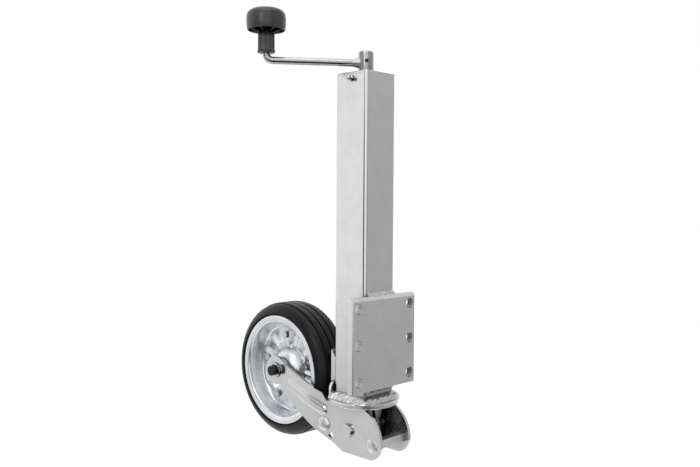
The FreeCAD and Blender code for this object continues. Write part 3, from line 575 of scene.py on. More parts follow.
@dataclass
class Finishes:
    """Every material of the object, built once and handed out by the record's slot.

    A few nodes of a slot look different from the rest: the hammered ends, the bright clips and the dark pin.
    """

    slots: Dict[str, bpy.types.Material] = field(default_factory=dict)
    special: Tuple[Tuple[str, str], ...] = (
        ("rear_rivet", "hammered_zinc"), ("heel_bar", "hammered_zinc"), ("axle_clips", "fastener_zinc"),
        ("roll_pin", "black_steel"))

    @staticmethod
    def chosen() -> Dict[str, Finish]:
        """The finish of each slot.

        Returns:
            Slots and their finishes.
        """
        # The hollow settings of each finish set how dark its painted shade in hollows and at contacts gets.
        return {
            "column_paint": ZincPlatedSteel(
                "zinc_plated_square_tube", dent_depth=0.003 * MM, painted_shade_level=0.08),
            "weld_paint": ZincPlatedSteel(
                "zinc_plated_weld", pale="#E6E6E4", dull="#CECECB", roughness=(0.32, 0.42), cloud=9.0 * MM,
                dent=7.0 * MM, dent_depth=0.08 * MM, painted_shade_level=0.5),
            "leg_zinc": ZincPlatedSteel("zinc_plated_round_tube", pale="#C6C6C5", dull="#B8B8B6"),
            "fork_zinc": ZincPlatedSteel("zinc_plated_pressed_plate", painted_shade_level=0.45),
            "crank_zinc": ZincPlatedSteel(
                "zinc_plated_round_bar", pale="#B8B8B6", dull="#ACACA9", roughness=(0.15, 0.20),
                cloud=16.0 * MM),
            "rim_zinc": ZincPlatedSteel(
                "bright_zinc_deep_drawn_rim", pale="#EDEFF2", dull="#E4E7EA", roughness=(0.26, 0.33),
                cloud=40.0 * MM, dent=30.0 * MM, dent_depth=0.03 * MM, hollow=30.0 * MM, painted_shade_level=0.72),
            "fastener_zinc": ZincPlatedSteel(
                "bright_zinc_fastener", pale="#DEDFE0", dull="#CBCCCD", roughness=(0.14, 0.22),
                cloud=5.0 * MM),
            "hammered_zinc": ZincPlatedSteel(
                "zinc_plated_hammered_end", pale="#E6E6E4", dull="#C8C8C5", roughness=(0.34, 0.46),
                cloud=9.0 * MM, dent=7.0 * MM, dent_depth=0.12 * MM, hollow=9.0 * MM, painted_shade_level=0.35),
            "bearing_steel": MachinedMetal("ground_bearing_steel"),
            "bronze": MachinedMetal("turned_bronze", colour="#B08D4F", shade="#8E6E3A"),
            "black_steel": MachinedMetal(
                "black_oxide_spring_steel", colour="#2A2A2B", shade="#1A1A1B", metallic=0.6,
                roughness=(0.32, 0.48)),
            "tyre_rubber": SolidRubber("moulded_solid_rubber"),
            "knob_plastic": MouldedPlastic("moulded_dark_grey_nylon"),
            "bearing_nylon": MouldedPlastic("natural_nylon", colour="#DDD8CA", roughness=(0.36, 0.46)),
        }

    def build(self) -> "Finishes":
        """Make all the materials."""
        self.slots = {slot: finish.build() for slot, finish in self.chosen().items()}
        return self

    def fit(self, piece: bpy.types.Object, slot: str, body: str, node: str) -> bpy.types.Object:
        """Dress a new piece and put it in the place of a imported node.

        Args:
            piece: The new piece.
            slot: The record's slot, whose material it gets.
            body: The body it rides on.
            node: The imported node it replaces.

        Returns:
            The piece.
        """
        piece.data.materials.clear()
        piece.data.materials.append(self.slots[slot])
        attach(piece, body)
        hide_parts(node)
        return piece

    def dress_frame(self, frame: Dict[str, Any]) -> None:
        """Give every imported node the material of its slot, or its own special one.

        Args:
            frame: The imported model.
        """
        special = dict(self.special)
        for part in frame["record"]["subparts"]:
            for slot in frame["nodes"][part["node"]].material_slots:
                slot.material = self.slots[special.get(part["node"], part["material_slot"])]


# ---- stage, light and camera ----


@dataclass(frozen=True)
class Studio:
    """A white backdrop, a pale floor and soft light in a room that is darker towards the camera's right.

    The room's levels are strengths of its walls, by the direction seen from the object. Each of turn_stops
    is a turn from the camera in degrees, positive to its right, and the levels near the floor, at eye level
    and above it.
    """

    camera_place: Vector3 = (0.82607, -0.91609, 0.22406)
    camera_right: Vector3 = (0.71033, 0.70384, 0.00629)
    camera_up: Vector3 = (-0.03270, 0.02407, 0.99918)
    camera_back: Vector3 = (0.70310, -0.70995, 0.04011)
    focal_length_mm: float = 39.517
    sensor_width_mm: float = 36.0
    floor_height: float = -0.70
    floor_radius: float = 1.35
    floor_setback: float = 0.85
    floor_steps: int = 96
    floor_paint: str = "#E6E6E6"
    floor_glow: float = 1.15
    floor_glow_share: float = 0.80
    lamp_target: Vector3 = (-0.1, 0.0, 0.1)
    eye_level: Span = (-0.20, -0.13)
    above_level: Span = (0.03, 0.12)
    gloom_fall: Span = (-0.30, -0.42)
    gloom_front: Span = (0.36, 0.56)
    gloom_depth: float = 0.88
    turn_stops: Tuple[Tuple[float, float, float, float], ...] = (
        (-180.0, 0.90, 1.00, 1.00), (-110.0, 0.76, 1.05, 1.05), (-79.0, 0.76, 1.05, 1.05),
        (-74.0, 0.76, 0.02, 0.66), (-38.0, 0.60, 0.02, 0.45), (-32.0, 0.60, 1.10, 1.10),
        (-8.0, 0.50, 1.10, 1.10), (-2.0, 0.08, 1.10, 1.10), (22.0, 0.08, 1.10, 1.10),
        (36.0, 0.35, 0.32, 0.50), (55.0, 0.40, 0.35, 0.52), (72.0, 0.48, 0.52, 0.54),
        (104.0, 0.48, 0.50, 0.54), (140.0, 0.85, 1.00, 1.00), (180.0, 0.90, 1.00, 1.00))

    def build(self) -> None:
        """Make the camera, the floor, the world and the lamps."""
        self.add_camera()
        self.add_floor()
        self.add_world()
        self.add_lamp("soft_box_top", (0.1, -0.2, 1.0), 1.9, 1.5, 7.0)
        self.add_lamp("strip_box_front", (0.35, -1.0, 0.60), 2.0, 0.45, 3.0)

    def add_camera(self) -> None:
        """Place the camera by its three axes, worked out from the object's own straight edges."""
        data = bpy.data.cameras.new("camera")
        data.lens = self.focal_length_mm
        data.sensor_width = self.sensor_width_mm
        data.sensor_fit = "HORIZONTAL"
        camera = bpy.data.objects.new("camera", data)
        axes = Matrix((self.camera_right, self.camera_up, self.camera_back)).transposed().to_4x4()
        camera.matrix_world = Matrix.Translation(self.camera_place) @ axes
        bpy.context.scene.collection.objects.link(camera)
        bpy.context.scene.camera = camera

    def add_floor(self) -> None:
        """A round pale floor at the height that the wheel reaches when it is wound right down.

        It lies under the object and behind it, and ends short of the camera, as a studio's white sheet does.
        """
        turn = np.linspace(0.0, TURN, self.floor_steps, endpoint=False)
        behind = -self.floor_setback * np.array(self.camera_back[:2])
        edge = joined(behind[0] + self.floor_radius * np.cos(turn),
                      behind[1] + self.floor_radius * np.sin(turn), self.floor_height)
        mesh = bpy.data.meshes.new("floor")
        mesh.from_pydata(edge.tolist(), [], [list(range(self.floor_steps))])
        floor = bpy.data.objects.new("floor", mesh)
        bpy.context.scene.collection.objects.link(floor)
        material, tree = new_material("pale_floor")
        paint = add_node(tree, "ShaderNodeBsdfDiffuse", {"Color": linear(self.floor_paint)})
        glow = add_node(tree, "ShaderNodeEmission", {"Color": WHITE, "Strength": self.floor_glow})
        lit = add_node(tree, "ShaderNodeMixShader", {0: self.floor_glow_share},
                       {1: paint.outputs[0], 2: glow.outputs[0]})
        both = add_node(tree, "ShaderNodeMixShader",
                        links={0: self.background_share(tree), 1: paint.outputs[0], 2: lit.outputs[0]})
        add_node(tree, "ShaderNodeOutputMaterial", links={"Surface": both.outputs[0]})
        floor.data.materials.append(material)

    @staticmethod
    def background_share(tree: bpy.types.NodeTree) -> bpy.types.NodeSocket:
        """One where a camera, glossy or transmitted ray looks, otherwise zero.

        Args:
            tree: The floor's node tree.

        Returns:
            The share's socket.
        """
        rays = add_node(tree, "ShaderNodeLightPath")
        share = rays.outputs[RayKind.CAMERA.value]
        for kind in (RayKind.GLOSSY, RayKind.TRANSMISSION):
            share = add_node(tree, "ShaderNodeMath", {"operation": "MAXIMUM"},
                             {0: share, 1: rays.outputs[kind.value]}).outputs[0]
        return share

    def room_ramp(self, tree: bpy.types.NodeTree, turn: bpy.types.NodeSocket,
                  column: int) -> bpy.types.NodeSocket:
        """Level of the room round the object, by the turn away from the camera.

        Args:
            tree: The world's node tree.
            turn: Turn about the upright axis, 0 to 1: a half is towards the camera, a quarter to its left.
            column: Which level of each stop to use: 1 near the floor, 2 at eye level and 3 above it.

        Returns:
            The level's socket.
        """
        ramp = add_node(tree, "ShaderNodeValToRGB", links={0: turn})
        elements = ramp.color_ramp.elements
        while len(elements) < len(self.turn_stops):
            elements.new(0.5)
        for element, stop in zip(elements, self.turn_stops):
            element.position = stop[0] / 360.0 + 0.5
            element.color = (stop[column], stop[column], stop[column], 1.0)
        return ramp.outputs["Color"]

    def add_world(self) -> None:
        """A white backdrop behind the object and a room with walls of different levels round the rest.

        At eye level there are a bright wall on the left, a dark gap, a bright panel before the camera and a
        grey wall on the right. The floor's part of the room is duller, with a dark patch before the camera,
        and well below eye level the room near the camera's feet is almost dark.
        """
        world = bpy.data.worlds.new("studio")
        world.use_nodes = True
        tree = world.node_tree
        tree.nodes.clear()
        way = add_node(tree, "ShaderNodeTexCoord").outputs["Generated"]
        across, towards = (
            add_node(tree, "ShaderNodeVectorMath", {"operation": "DOT_PRODUCT", 1: axis},
                     {0: way}).outputs["Value"]
            for axis in (self.camera_right, self.camera_back))
        angle = add_node(tree, "ShaderNodeMath", {"operation": "ARCTAN2"}, {0: across, 1: towards})
        turn = add_node(tree, "ShaderNodeMath", {"operation": "MULTIPLY_ADD", 1: 1.0 / TURN, 2: 0.5},
                        {0: angle.outputs[0]}).outputs[0]
        height = add_node(tree, "ShaderNodeSeparateXYZ", links={0: way}).outputs["Z"]
        raised, above, low, front = (
            add_node(tree, "ShaderNodeMapRange", {"From Min": start, "From Max": end},
                     {"Value": value}).outputs[0]
            for (start, end), value in ((self.eye_level, height), (self.above_level, height),
                                        (self.gloom_fall, height), (self.gloom_front, towards)))
        room = self.room_ramp(tree, turn, 1)
        for column, share in ((2, raised), (3, above)):
            room = add_node(tree, "ShaderNodeMix", {"data_type": "RGBA"},
                            {0: share, 6: room, 7: self.room_ramp(tree, turn, column)}).outputs[2]
        gloom = add_node(tree, "ShaderNodeMath", {"operation": "MULTIPLY"}, {0: low, 1: front})
        kept = add_node(tree, "ShaderNodeMath", {"operation": "MULTIPLY_ADD", 1: -self.gloom_depth, 2: 1.0},
                        {0: gloom.outputs[0]})
        walls = add_node(tree, "ShaderNodeBackground", links={"Color": room, "Strength": kept.outputs[0]})
        white = add_node(tree, "ShaderNodeBackground", {"Color": WHITE, "Strength": 1.0})
        rays = add_node(tree, "ShaderNodeLightPath")
        seen = add_node(tree, "ShaderNodeMixShader",
                        links={0: rays.outputs[RayKind.CAMERA.value], 1: walls.outputs[0],
                               2: white.outputs[0]})
        add_node(tree, "ShaderNodeOutputWorld", links={"Surface": seen.outputs[0]})
        bpy.context.scene.world = world

    def add_lamp(self, name: str, way: Vector3, distance: float, size: float, watts: float) -> None:
        """Hang a square soft box in a direction from the object and aim it at the object.

        Args:
            name: The lamp's name.
            way: Direction from the object to the lamp.
            distance: Distance from the column in metres.
            size: Side of the square in metres.
            watts: Lamp power.
        """
        data = bpy.data.lights.new(name, "AREA")
        data.size = size
        data.energy = watts
        lamp = bpy.data.objects.new(name, data)
        aim = np.asarray(way) / np.linalg.norm(way)
        lamp.location = aim * distance + np.array(self.lamp_target)
        lamp.rotation_mode = "QUATERNION"
        lamp.rotation_quaternion = Vector(aim.tolist()).to_track_quat("Z", "Y")
        bpy.context.scene.collection.objects.link(lamp)


# ---- sub-assemblies ----


def box_of(node: str) -> Tuple[np.ndarray, np.ndarray]:
    """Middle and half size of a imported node's box."""
    low, high = (np.array(corner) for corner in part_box(node))
    return (low + high) / 2.0, (high - low) / 2.0


@dataclass
class Wheel:
    """The solid rubber tyre and the two deep-drawn rim halves, turned about the axle."""

    centre: Vector3
    tyre_radius: float
    tyre_half: float
    rim_radius: float
    hub_radius: float
    sheet: float = 2.2 * MM
    groove_places: Tuple[float, ...] = (-22.0 * MM, -7.5 * MM, 7.5 * MM, 22.0 * MM)
    groove_half: Span = (0.96 * MM, 1.86 * MM)
    groove_depth: float = 3.0 * MM
    shoulder_radius: float = 23.0 * MM
    lobe_count: int = 5
    lobe_phase: float = math.radians(114.0)
    lobe_half_angle: float = math.radians(31.0)
    lobe_flank: float = math.radians(9.5)
    lobe_height: float = 6.0 * MM
    valley_depth: float = 3.4 * MM
    valley_half_angle: float = math.radians(10.5)
    valley_shallow: float = 0.35
    tyre_steps: int = 240
    rim_steps: int = 400

    @classmethod
    def from_frame(cls) -> "Wheel":
        """Take the wheel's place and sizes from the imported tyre, rim and hub tube."""
        centre, tyre = box_of("tyre")
        return cls(tuple(centre), tyre[2], tyre[1], box_of("rim_half_near")[1][2], box_of("hub_tube")[1][2])

    def crown_radius(self, y: np.ndarray) -> np.ndarray:
        """Tread radius at y: flat in the middle and a quarter circle over each shoulder.

        Args:
            y: Places across the tread.

        Returns:
            Radii in the shape of y.
        """
        beyond = np.maximum(np.abs(y) - (self.tyre_half - self.shoulder_radius), 0.0)
        drop = self.shoulder_radius - np.sqrt(np.maximum(self.shoulder_radius**2 - beyond**2, 0.0))
        return self.tyre_radius - drop

    def groove_cut(self, y: np.ndarray) -> np.ndarray:
        """Depth of the tread grooves at y: full up to the first half width, and none past the second.

        Args:
            y: Places across the tread.

        Returns:
            Depths in the shape of y.
        """
        away = np.abs(y - np.array(self.groove_places)[:, None]).min(axis=0)
        return self.groove_depth * (1.0 - smooth_step(*self.groove_half, away))

    def tyre_profile(self) -> np.ndarray:
        """The tyre's closed section: seat, flange groove, sidewall, shoulder and grooved tread.

        Returns:
            Points of shape (n, 2): the radius and the place along the axle.
        """
        lip = self.rim_radius + 1.2 * MM
        tread_y = np.linspace(-self.tyre_half + 3.0 * MM, self.tyre_half - 3.0 * MM, 281)
        tread = np.column_stack([self.crown_radius(tread_y) - self.groove_cut(tread_y), tread_y])
        edge = tread[-1]
        wall = rounded_path([
            tuple(edge),
            (edge[0] - 4.0 * MM, self.tyre_half - 0.6 * MM),
            (edge[0] - 9.0 * MM, self.tyre_half),
            (lip + 2.0 * MM, self.tyre_half - 0.3 * MM),
            (lip, self.tyre_half - 1.6 * MM),
            (lip - 0.2 * MM, self.tyre_half - 6.0 * MM),
            (self.rim_radius - 4.0 * MM, self.tyre_half - 6.6 * MM),
            (self.rim_radius - 10.0 * MM, self.tyre_half - 8.0 * MM),
            (self.rim_radius - 13.0 * MM, self.tyre_half - 22.0 * MM),
        ], 2)
        other = wall[::-1] * np.array([1.0, -1.0])
        return np.vstack([tread, wall[1:], other[:-1]])

    def make_tyre(self) -> bpy.types.Object:
        """Turn the tyre's section about the axle.

        Returns:
            The tyre.
        """
        profile = self.tyre_profile()
        grid = turned_grid(profile[:, :1], profile[:, 1:], self.centre, self.tyre_steps)
        parts = MeshParts().add_grid(grid, wrap_rows=True, wrap_columns=True)
        return parts.to_object("dressed_tyre", smooth_angle=60.0)

    def rim_profile(self) -> np.ndarray:
        """Face of a rim half as (radius, height over the middle plane), from the hub nose to the lip.

        Returns:
            Points of shape (n, 2).
        """
        lip = self.rim_radius
        hub = self.hub_radius
        coarse = [
            (hub, 27.5), (hub + 5.0 * MM, 26.4), (hub + 10.0 * MM, 23.0), (hub + 14.5 * MM, 17.5),
            (hub + 18.0 * MM, 10.0), (hub + 19.8 * MM, 4.4), (hub + 21.4 * MM, 2.8), (hub + 33.0 * MM, 2.4),
            (hub + 42.0 * MM, 2.4), (lip - 29.0 * MM, 2.4), (lip - 23.0 * MM, 3.4), (lip - 18.5 * MM, 7.0),
            (lip - 16.2 * MM, 14.0), (lip - 14.6 * MM, 24.0), (lip - 13.4 * MM, 31.0), (lip - 12.2 * MM, 33.8),
            (lip - 10.4 * MM, 34.9), (lip - 6.0 * MM, 35.4), (lip - 1.6 * MM, 35.5), (lip - 0.4 * MM, 34.9),
            (lip, 33.4),
        ]
        path = np.array([(radius, height * MM) for radius, height in coarse])
        return rounded_path(path, 2)

    def lobe_rise(self, radius: np.ndarray, angle: np.ndarray) -> np.ndarray:
        """Height of the pressed lobes: a fan-shaped pad with a radial valley down its middle.

        The pad rises by smooth steps at both radii and both flanks. The valley is a bell curve across
        the angle, cut deeper towards the outside.

        Args:
            radius: Radii of shape (rows, steps).
            angle: Angles of shape (1, steps).

        Returns:
            Heights of shape (rows, steps).
        """
        pitch = TURN / self.lobe_count
        away = (angle - self.lobe_phase + pitch / 2.0) % pitch - pitch / 2.0
        hub, lip = self.hub_radius, self.rim_radius
        along = smooth_step(hub + 14.0 * MM, hub + 27.0 * MM, radius)
        along = along * (1.0 - smooth_step(lip - 27.0 * MM, lip - 18.5 * MM, radius))
        across = 1.0 - smooth_step(self.lobe_half_angle - self.lobe_flank, self.lobe_half_angle, np.abs(away))
        deeper = smooth_step(hub + 18.0 * MM, lip - 30.0 * MM, radius)
        deeper = self.valley_shallow + (1.0 - self.valley_shallow) * deeper
        valley = np.exp(-((away / self.valley_half_angle) ** 2)) * deeper
        return along * across * (self.lobe_height - self.valley_depth * valley)

    def make_rim(self, side: Side) -> bpy.types.Object:
        """One rim half: the turned profile plus the lobes, given its sheet thickness.

        The hidden face lies one thickness inwards, and one outwards over the steep barrel.

        Args:
            side: Which half to make.

        Returns:
            The half.
        """
        profile = self.rim_profile()
        angle = np.linspace(0.0, TURN, self.rim_steps, endpoint=False)[None, :]
        radius = profile[:, :1] + 0.0 * angle
        height = profile[:, 1:] + self.lobe_rise(radius, angle)
        face = turned_grid(radius, side.value * height, self.centre, self.rim_steps)
        slope = np.gradient(profile[:, 1]) / np.maximum(np.abs(np.gradient(profile[:, 0])), 1e-6)
        steep = np.clip(slope / 3.0, 0.0, 1.0)[:, None] * self.sheet
        back = face + joined(steep * np.cos(angle), -side.value * self.sheet, steep * np.sin(angle))
        parts = MeshParts().add_grid(np.concatenate([face, back[::-1]]), wrap_rows=True, wrap_columns=True)
        return parts.to_object(f"dressed_rim_{side.word}", smooth_angle=50.0)

    def build(self, finishes: Finishes) -> List[bpy.types.Object]:
        """Make and dress the tyre and both rim halves.

        Args:
            finishes: The materials.

        Returns:
            The three pieces.
        """
        tyre = finishes.fit(self.make_tyre(), "tyre_rubber", "wheel", "tyre")
        return [tyre] + [finishes.fit(self.make_rim(side), "rim_zinc", "wheel", f"rim_half_{side.word}")
                         for side in Side]


@dataclass
class Knob:
    """The mushroom knob: a domed head, hollow below with thin ribs, on a fluted stem."""

    axis: Span
    foot: float
    top: float
    radius: float
    stem_radius: float = 14.3 * MM
    head_height: float = 34.5 * MM
    crown: float = 12.5 * MM
    rib_count: int = 8
    rib_phase: float = math.radians(-12.5)
    rib_half: float = 0.8 * MM
    core_radius: float = 9.0 * MM
    stem_drop: float = 5.0 * MM
    flute_depth: float = 1.3 * MM
    steps: int = 160

    @classmethod
    def from_frame(cls) -> "Knob":
        """Take the knob's axis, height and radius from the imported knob."""
        middle, half = box_of("knob_grip")
        return cls(tuple(middle[:2]), middle[2] - half[2], middle[2] + half[2], half[0])

    def head_profile(self) -> np.ndarray:
        """Closed section of the head as (radius, height): crown, seam, side, lip and hollow.

        Returns:
            Points of shape (n, 2).
        """
        rim = self.top - self.head_height
        edge = self.radius
        seam = self.top - self.crown
        crown = rounded_path([
            (POLE, self.top), (edge * 0.42, self.top - 0.1 * MM), (edge * 0.68, self.top - 0.9 * MM),
            (edge * 0.87, self.top - 4.2 * MM), (edge * 0.965, self.top - 8.6 * MM), (edge, seam - 1.5 * MM),
            (edge * 0.995, rim + 12.0 * MM), (edge * 0.985, rim + 6.0 * MM), (edge * 0.955, rim + 1.2 * MM),
        ], 3)
        lip = rounded_path([
            (edge * 0.955, rim + 1.2 * MM), (edge * 0.945, rim + 0.2 * MM), (edge * 0.925, rim),
            (edge * 0.905, rim + 0.2 * MM), (edge * 0.90, rim + 1.5 * MM), (edge * 0.91, rim + 8.0 * MM),
            (edge * 0.90, rim + 16.0 * MM), (edge * 0.82, self.top - 8.0 * MM),
            (edge * 0.55, self.top - 5.0 * MM), (POLE, self.top - 5.0 * MM),
        ], 2)
        outside = np.vstack([crown, lip[1:]])
        near_seam = np.exp(-(((outside[:, 1] - seam) / (0.7 * MM)) ** 2)) * (outside[:, 0] > edge * 0.9)
        outside[:, 0] -= 0.5 * MM * near_seam
        return outside

    def make(self) -> bpy.types.Object:
        """Build the head, the ribs and the fluted stem into one piece.

        The stem's radius is its profile less the flutes, which are a power of a cosine round the turn.

        Returns:
            The knob.
        """
        parts = MeshParts()
        centre = (*self.axis, 0.0)
        profile = self.head_profile()
        head = turned_grid(profile[:, :1], profile[:, 1:], centre, self.steps, 2)
        parts.add_grid(head, wrap_rows=True, wrap_columns=True)
        rim = self.top - self.head_height
        shoulder = rim - self.stem_drop - self.foot
        levels = np.array([0.0, 0.6 * MM, 1.6 * MM, 4.0 * MM, 5.5 * MM, 0.6 * shoulder, shoulder - 1.0 * MM,
                           shoulder, shoulder + 0.4 * MM, self.top - 6.0 * MM - self.foot]) + self.foot
        swell = np.array([0.93, 0.99, 1.01, 1.01, 1.0, 0.99, 0.98, 0.94, 0.0, 0.0]) * self.stem_radius
        swell[-2:] = self.core_radius
        angle = np.linspace(0.0, TURN, self.steps, endpoint=False)
        flute = 0.5 - 0.5 * np.cos(self.rib_count * (angle - self.rib_phase))
        fluted = smooth_step(4.0 * MM, 6.0 * MM, levels - self.foot)
        fluted[-2:] = 0.0
        stem = swell[:, None] - self.flute_depth * (flute**0.7)[None, :] * fluted[:, None]
        post = turned_grid(stem, levels[:, None], centre, self.steps, 2)
        parts.add_grid(post, wrap_columns=True, cap_rows=True)
        for index in range(self.rib_count):
            blade = self.rib(TURN * index / self.rib_count + self.rib_phase, rim)
            parts.add_grid(blade, wrap_columns=True, cap_rows=True)
        return parts.to_object("dressed_knob", smooth_angle=35.0)

    def rib(self, angle: float, rim: float) -> Grid:
        """A thin upright blade from the core to the head's wall, whose lower edge rises outwards.

        Args:
            angle: Turn of the blade in radians.
            rim: Height of the head's lip.

        Returns:
            Its corners of shape (2, 4, 3), at the core and at the wall.
        """
        way = np.array([math.cos(angle), math.sin(angle)])
        across = np.array([-way[1], way[0]]) * self.rib_half
        upper = self.top - 7.0 * MM
        rows = []
        for reach, lower in ((self.core_radius - 0.5 * MM, rim - self.stem_drop + 0.2 * MM),
                             (self.radius * 0.90 + 0.3 * MM, rim + 0.6 * MM)):
            middle = np.array(self.axis) + way * reach
            rows.append([[*(middle + side * across), height]
                         for side, height in ((-1.0, lower), (1.0, lower), (1.0, upper), (-1.0, upper))])
        return np.array(rows)

    def build(self, finishes: Finishes) -> List[bpy.types.Object]:
        """Make and dress the knob."""
        return [finishes.fit(self.make(), "knob_plastic", "knob", "knob_grip")]


def arc_through(start: Sequence[float], middle: Sequence[float], end: Sequence[float],
                count: int) -> np.ndarray:
    """Points along the circle arc that starts at one point, passes through another and ends at a third.

    Args:
        start: First point, two numbers.
        middle: A point on the arc.
        end: Last point.
        count: Number of points, the first and last included.

    Returns:
        Points of shape (count, 2).
    """
    first, second, third = (np.asarray(point, dtype=float) for point in (start, middle, end))
    left = 2.0 * np.array([second - first, third - first])
    right = np.array([second @ second - first @ first, third @ third - first @ first])
    centre = np.linalg.solve(left, right)
    angles = np.unwrap([math.atan2(*(point - centre)[::-1]) for point in (first, second, third)])
    turn = np.linspace(angles[0], angles[2], count)
    return centre + np.linalg.norm(first - centre) * np.column_stack([np.cos(turn), np.sin(turn)])


@dataclass
class Fork:
    """The two pressed plates of the fork: flat heel, splayed arm with a long bead, inset axle end.

    Sizes are in metres from the pivot, x forwards and z up, as the plates lie when the wheel is folded.
    Each of the other holes is given by x, z and radius.
    """

    pivot: Span
    axle: Span
    arm_face: float
    heel_face: float = 36.0 * MM
    hub_inset: float = 3.5 * MM
    hub_end: float = 25.5 * MM
    thickness: float = 5.0 * MM
    splay: Span = (-90.0 * MM, -22.0 * MM)
    bend_share: float = 0.30
    joggle: Span = (-166.0 * MM, -140.0 * MM)
    bead_start: Span = (-136.0 * MM, 53.0 * MM)
    bead_end: Span = (-56.0 * MM, 24.5 * MM)
    bead_half: float = 9.5 * MM
    bead_flank: float = 5.0 * MM
    bead_height: float = 3.2 * MM
    pivot_hole: float = 10.65 * MM
    axle_hole: float = 8.7 * MM
    other_holes: Tuple[Vector3, ...] = (
        (57.0 * MM, -11.5 * MM, 5.5 * MM), (-54.0 * MM, 0.0, 5.0 * MM), (-39.5 * MM, -16.0 * MM, 4.8 * MM))
    spacing: float = 1.25 * MM
    margin: float = 4.0 * MM
    cutter_reach: float = 80.0 * MM

    @classmethod
    def from_frame(cls) -> "Fork":
        """Take the pivot, the axle and the arms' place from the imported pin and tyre.

        Returns:
            The fork, ready to build.
        """
        pin, tyre = box_of("pivot_pin")[0], box_of("tyre")
        axle = tyre[0] - pin
        tyre_gap = 7.0 * MM
        return cls((pin[0], pin[2]), (axle[0], axle[2]), tyre[1][1] + tyre_gap)

    def outline(self) -> np.ndarray:
        """The plate's side view as a closed loop of (x, z) points from the heel's front corner.

        Returns:
            Points of shape (n, 2).
        """

        def rim(degrees: float) -> np.ndarray:
            """A point on the round axle end."""
            angle = math.radians(degrees)
            return np.array(self.axle) + self.hub_end * np.array([math.cos(angle), math.sin(angle)])

        place = {name: np.array(spot) * MM for name, spot in {
            "back": (-49.5, 40.3), "front": (34.0, 40.3), "brow": (59.5, 22.8), "nose": (71.5, -4.5),
            "chin": (66.66, -28.36), "foot": (43.5, -38.0), "belly": (-14.0, -38.0), "rise": (-34.0, -27.5),
            "under": (-102.0, 5.0), "over": (-108.0, 69.5), "neck": (-58.0, 52.3)}.items()}
        runs = [
            np.array([place["back"], place["front"]]),
            arc_through(place["front"], place["brow"], place["nose"], 24),
            arc_through(place["nose"], place["chin"], place["foot"], 16),
            np.array([place["foot"], place["belly"], place["rise"]]),
            arc_through(place["rise"], place["under"], rim(-62.0), 24),
            arc_through(rim(-62.0), rim(180.0), rim(66.0), 40),
            arc_through(rim(66.0), place["over"], place["neck"], 24),
        ]
        return np.vstack([run[1:] for run in runs] + [[place["back"]]])

    def face_height(self, x: np.ndarray, z: np.ndarray) -> np.ndarray:
        """How far the plate's outer face stands from the middle plane.

        The splay is a straight slope with a parabola at each end, the inset a smooth step, and the bead a
        smooth step in the distance from its middle line.

        Args:
            x: Places forwards of the pivot.
            z: Places above the pivot, in the same shape.

        Returns:
            Heights in the same shape.
        """
        share = np.clip((self.splay[1] - x) / (self.splay[1] - self.splay[0]), 0.0, 1.0)
        bend = self.bend_share
        near_end = np.minimum(share, 1.0 - share)
        rounded = np.where(near_end < bend, near_end**2 / (2.0 * bend), near_end - bend / 2.0) / (1.0 - bend)
        soft = np.where(share < 0.5, rounded, 1.0 - rounded)
        inset = smooth_step(0.0, 1.0, (self.joggle[1] - x) / (self.joggle[1] - self.joggle[0]))
        base = self.heel_face + (self.arm_face - self.heel_face) * soft - self.hub_inset * inset
        start, end = np.array(self.bead_start), np.array(self.bead_end)
        run = end - start
        along = np.clip(((x - start[0]) * run[0] + (z - start[1]) * run[1]) / (run @ run), 0.0, 1.0)
        away = np.hypot(x - start[0] - along * run[0], z - start[1] - along * run[1])
        bead = 1.0 - smooth_step(self.bead_half - self.bead_flank, self.bead_half, away)
        return base + self.bead_height * bead

    def sheet(self) -> bpy.types.Object:
        """A bent rectangular sheet that covers the whole outline, for the near side.

        Returns:
            The sheet.
        """
        loop = self.outline()
        low, high = loop.min(axis=0) - self.margin, loop.max(axis=0) + self.margin
        x, z = np.meshgrid(np.arange(low[0], high[0], self.spacing), np.arange(low[1], high[1], self.spacing),
                           indexing="ij")
        face = self.face_height(x, z)
        ring = np.concatenate([joined(x, -face, z), joined(x, self.thickness - face, z)[:, ::-1]], axis=1)
        return MeshParts().add_grid(ring, wrap_columns=True, cap_rows=True).to_object("fork_sheet")

    def prism(self, loop: np.ndarray, name: str) -> bpy.types.Object:
        """A loop of (x, z) points drawn out across the near half of the object."""
        walls = np.stack([joined(loop[:, 0], y, loop[:, 1]) for y in (-self.cutter_reach, 0.0)])
        return MeshParts().add_grid(walls, wrap_columns=True, cap_rows=True).to_object(name)

    def holes(self) -> List[bpy.types.Object]:
        """Cutters for the pivot, axle, heel bar, rear rivet and drain holes.

        Returns:
            The cutters.
        """
        turn = np.linspace(0.0, TURN, 48, endpoint=False)
        circle = joined(np.cos(turn), np.sin(turn))
        spots = ((0.0, 0.0, self.pivot_hole), (*self.axle, self.axle_hole), *self.other_holes)
        return [self.prism(np.array([x, z]) + circle * radius, "fork_hole") for x, z, radius in spots]

    def build(self, finishes: Finishes) -> List[bpy.types.Object]:
        """Cut the bent sheet to the outline, bore it, and make one plate for each side.

        Args:
            finishes: The materials.

        Returns:
            The near and the far plate.
        """
        plate = self.sheet()
        cut_with(plate, self.prism(self.outline(), "fork_outline"), Cut.KEEP_INSIDE)
        for cutter in self.holes():
            cut_with(plate, cutter, Cut.TAKE_AWAY)
        pieces = []
        for side in Side:
            mesh = plate.data.copy()
            flip = Matrix.Diagonal((1.0, -side.value, 1.0, 1.0))
            mesh.transform(Matrix.Translation((self.pivot[0], 0.0, self.pivot[1])) @ flip)
            if side is Side.FAR:
                mesh.flip_normals()
            piece = smooth_object(f"dressed_fork_{side.word}", mesh, smooth_angle=35.0)
            pieces.append(finishes.fit(piece, "fork_zinc", "fork", f"fork_plate_{side.word}"))
        bpy.data.objects.remove(plate)
        return pieces


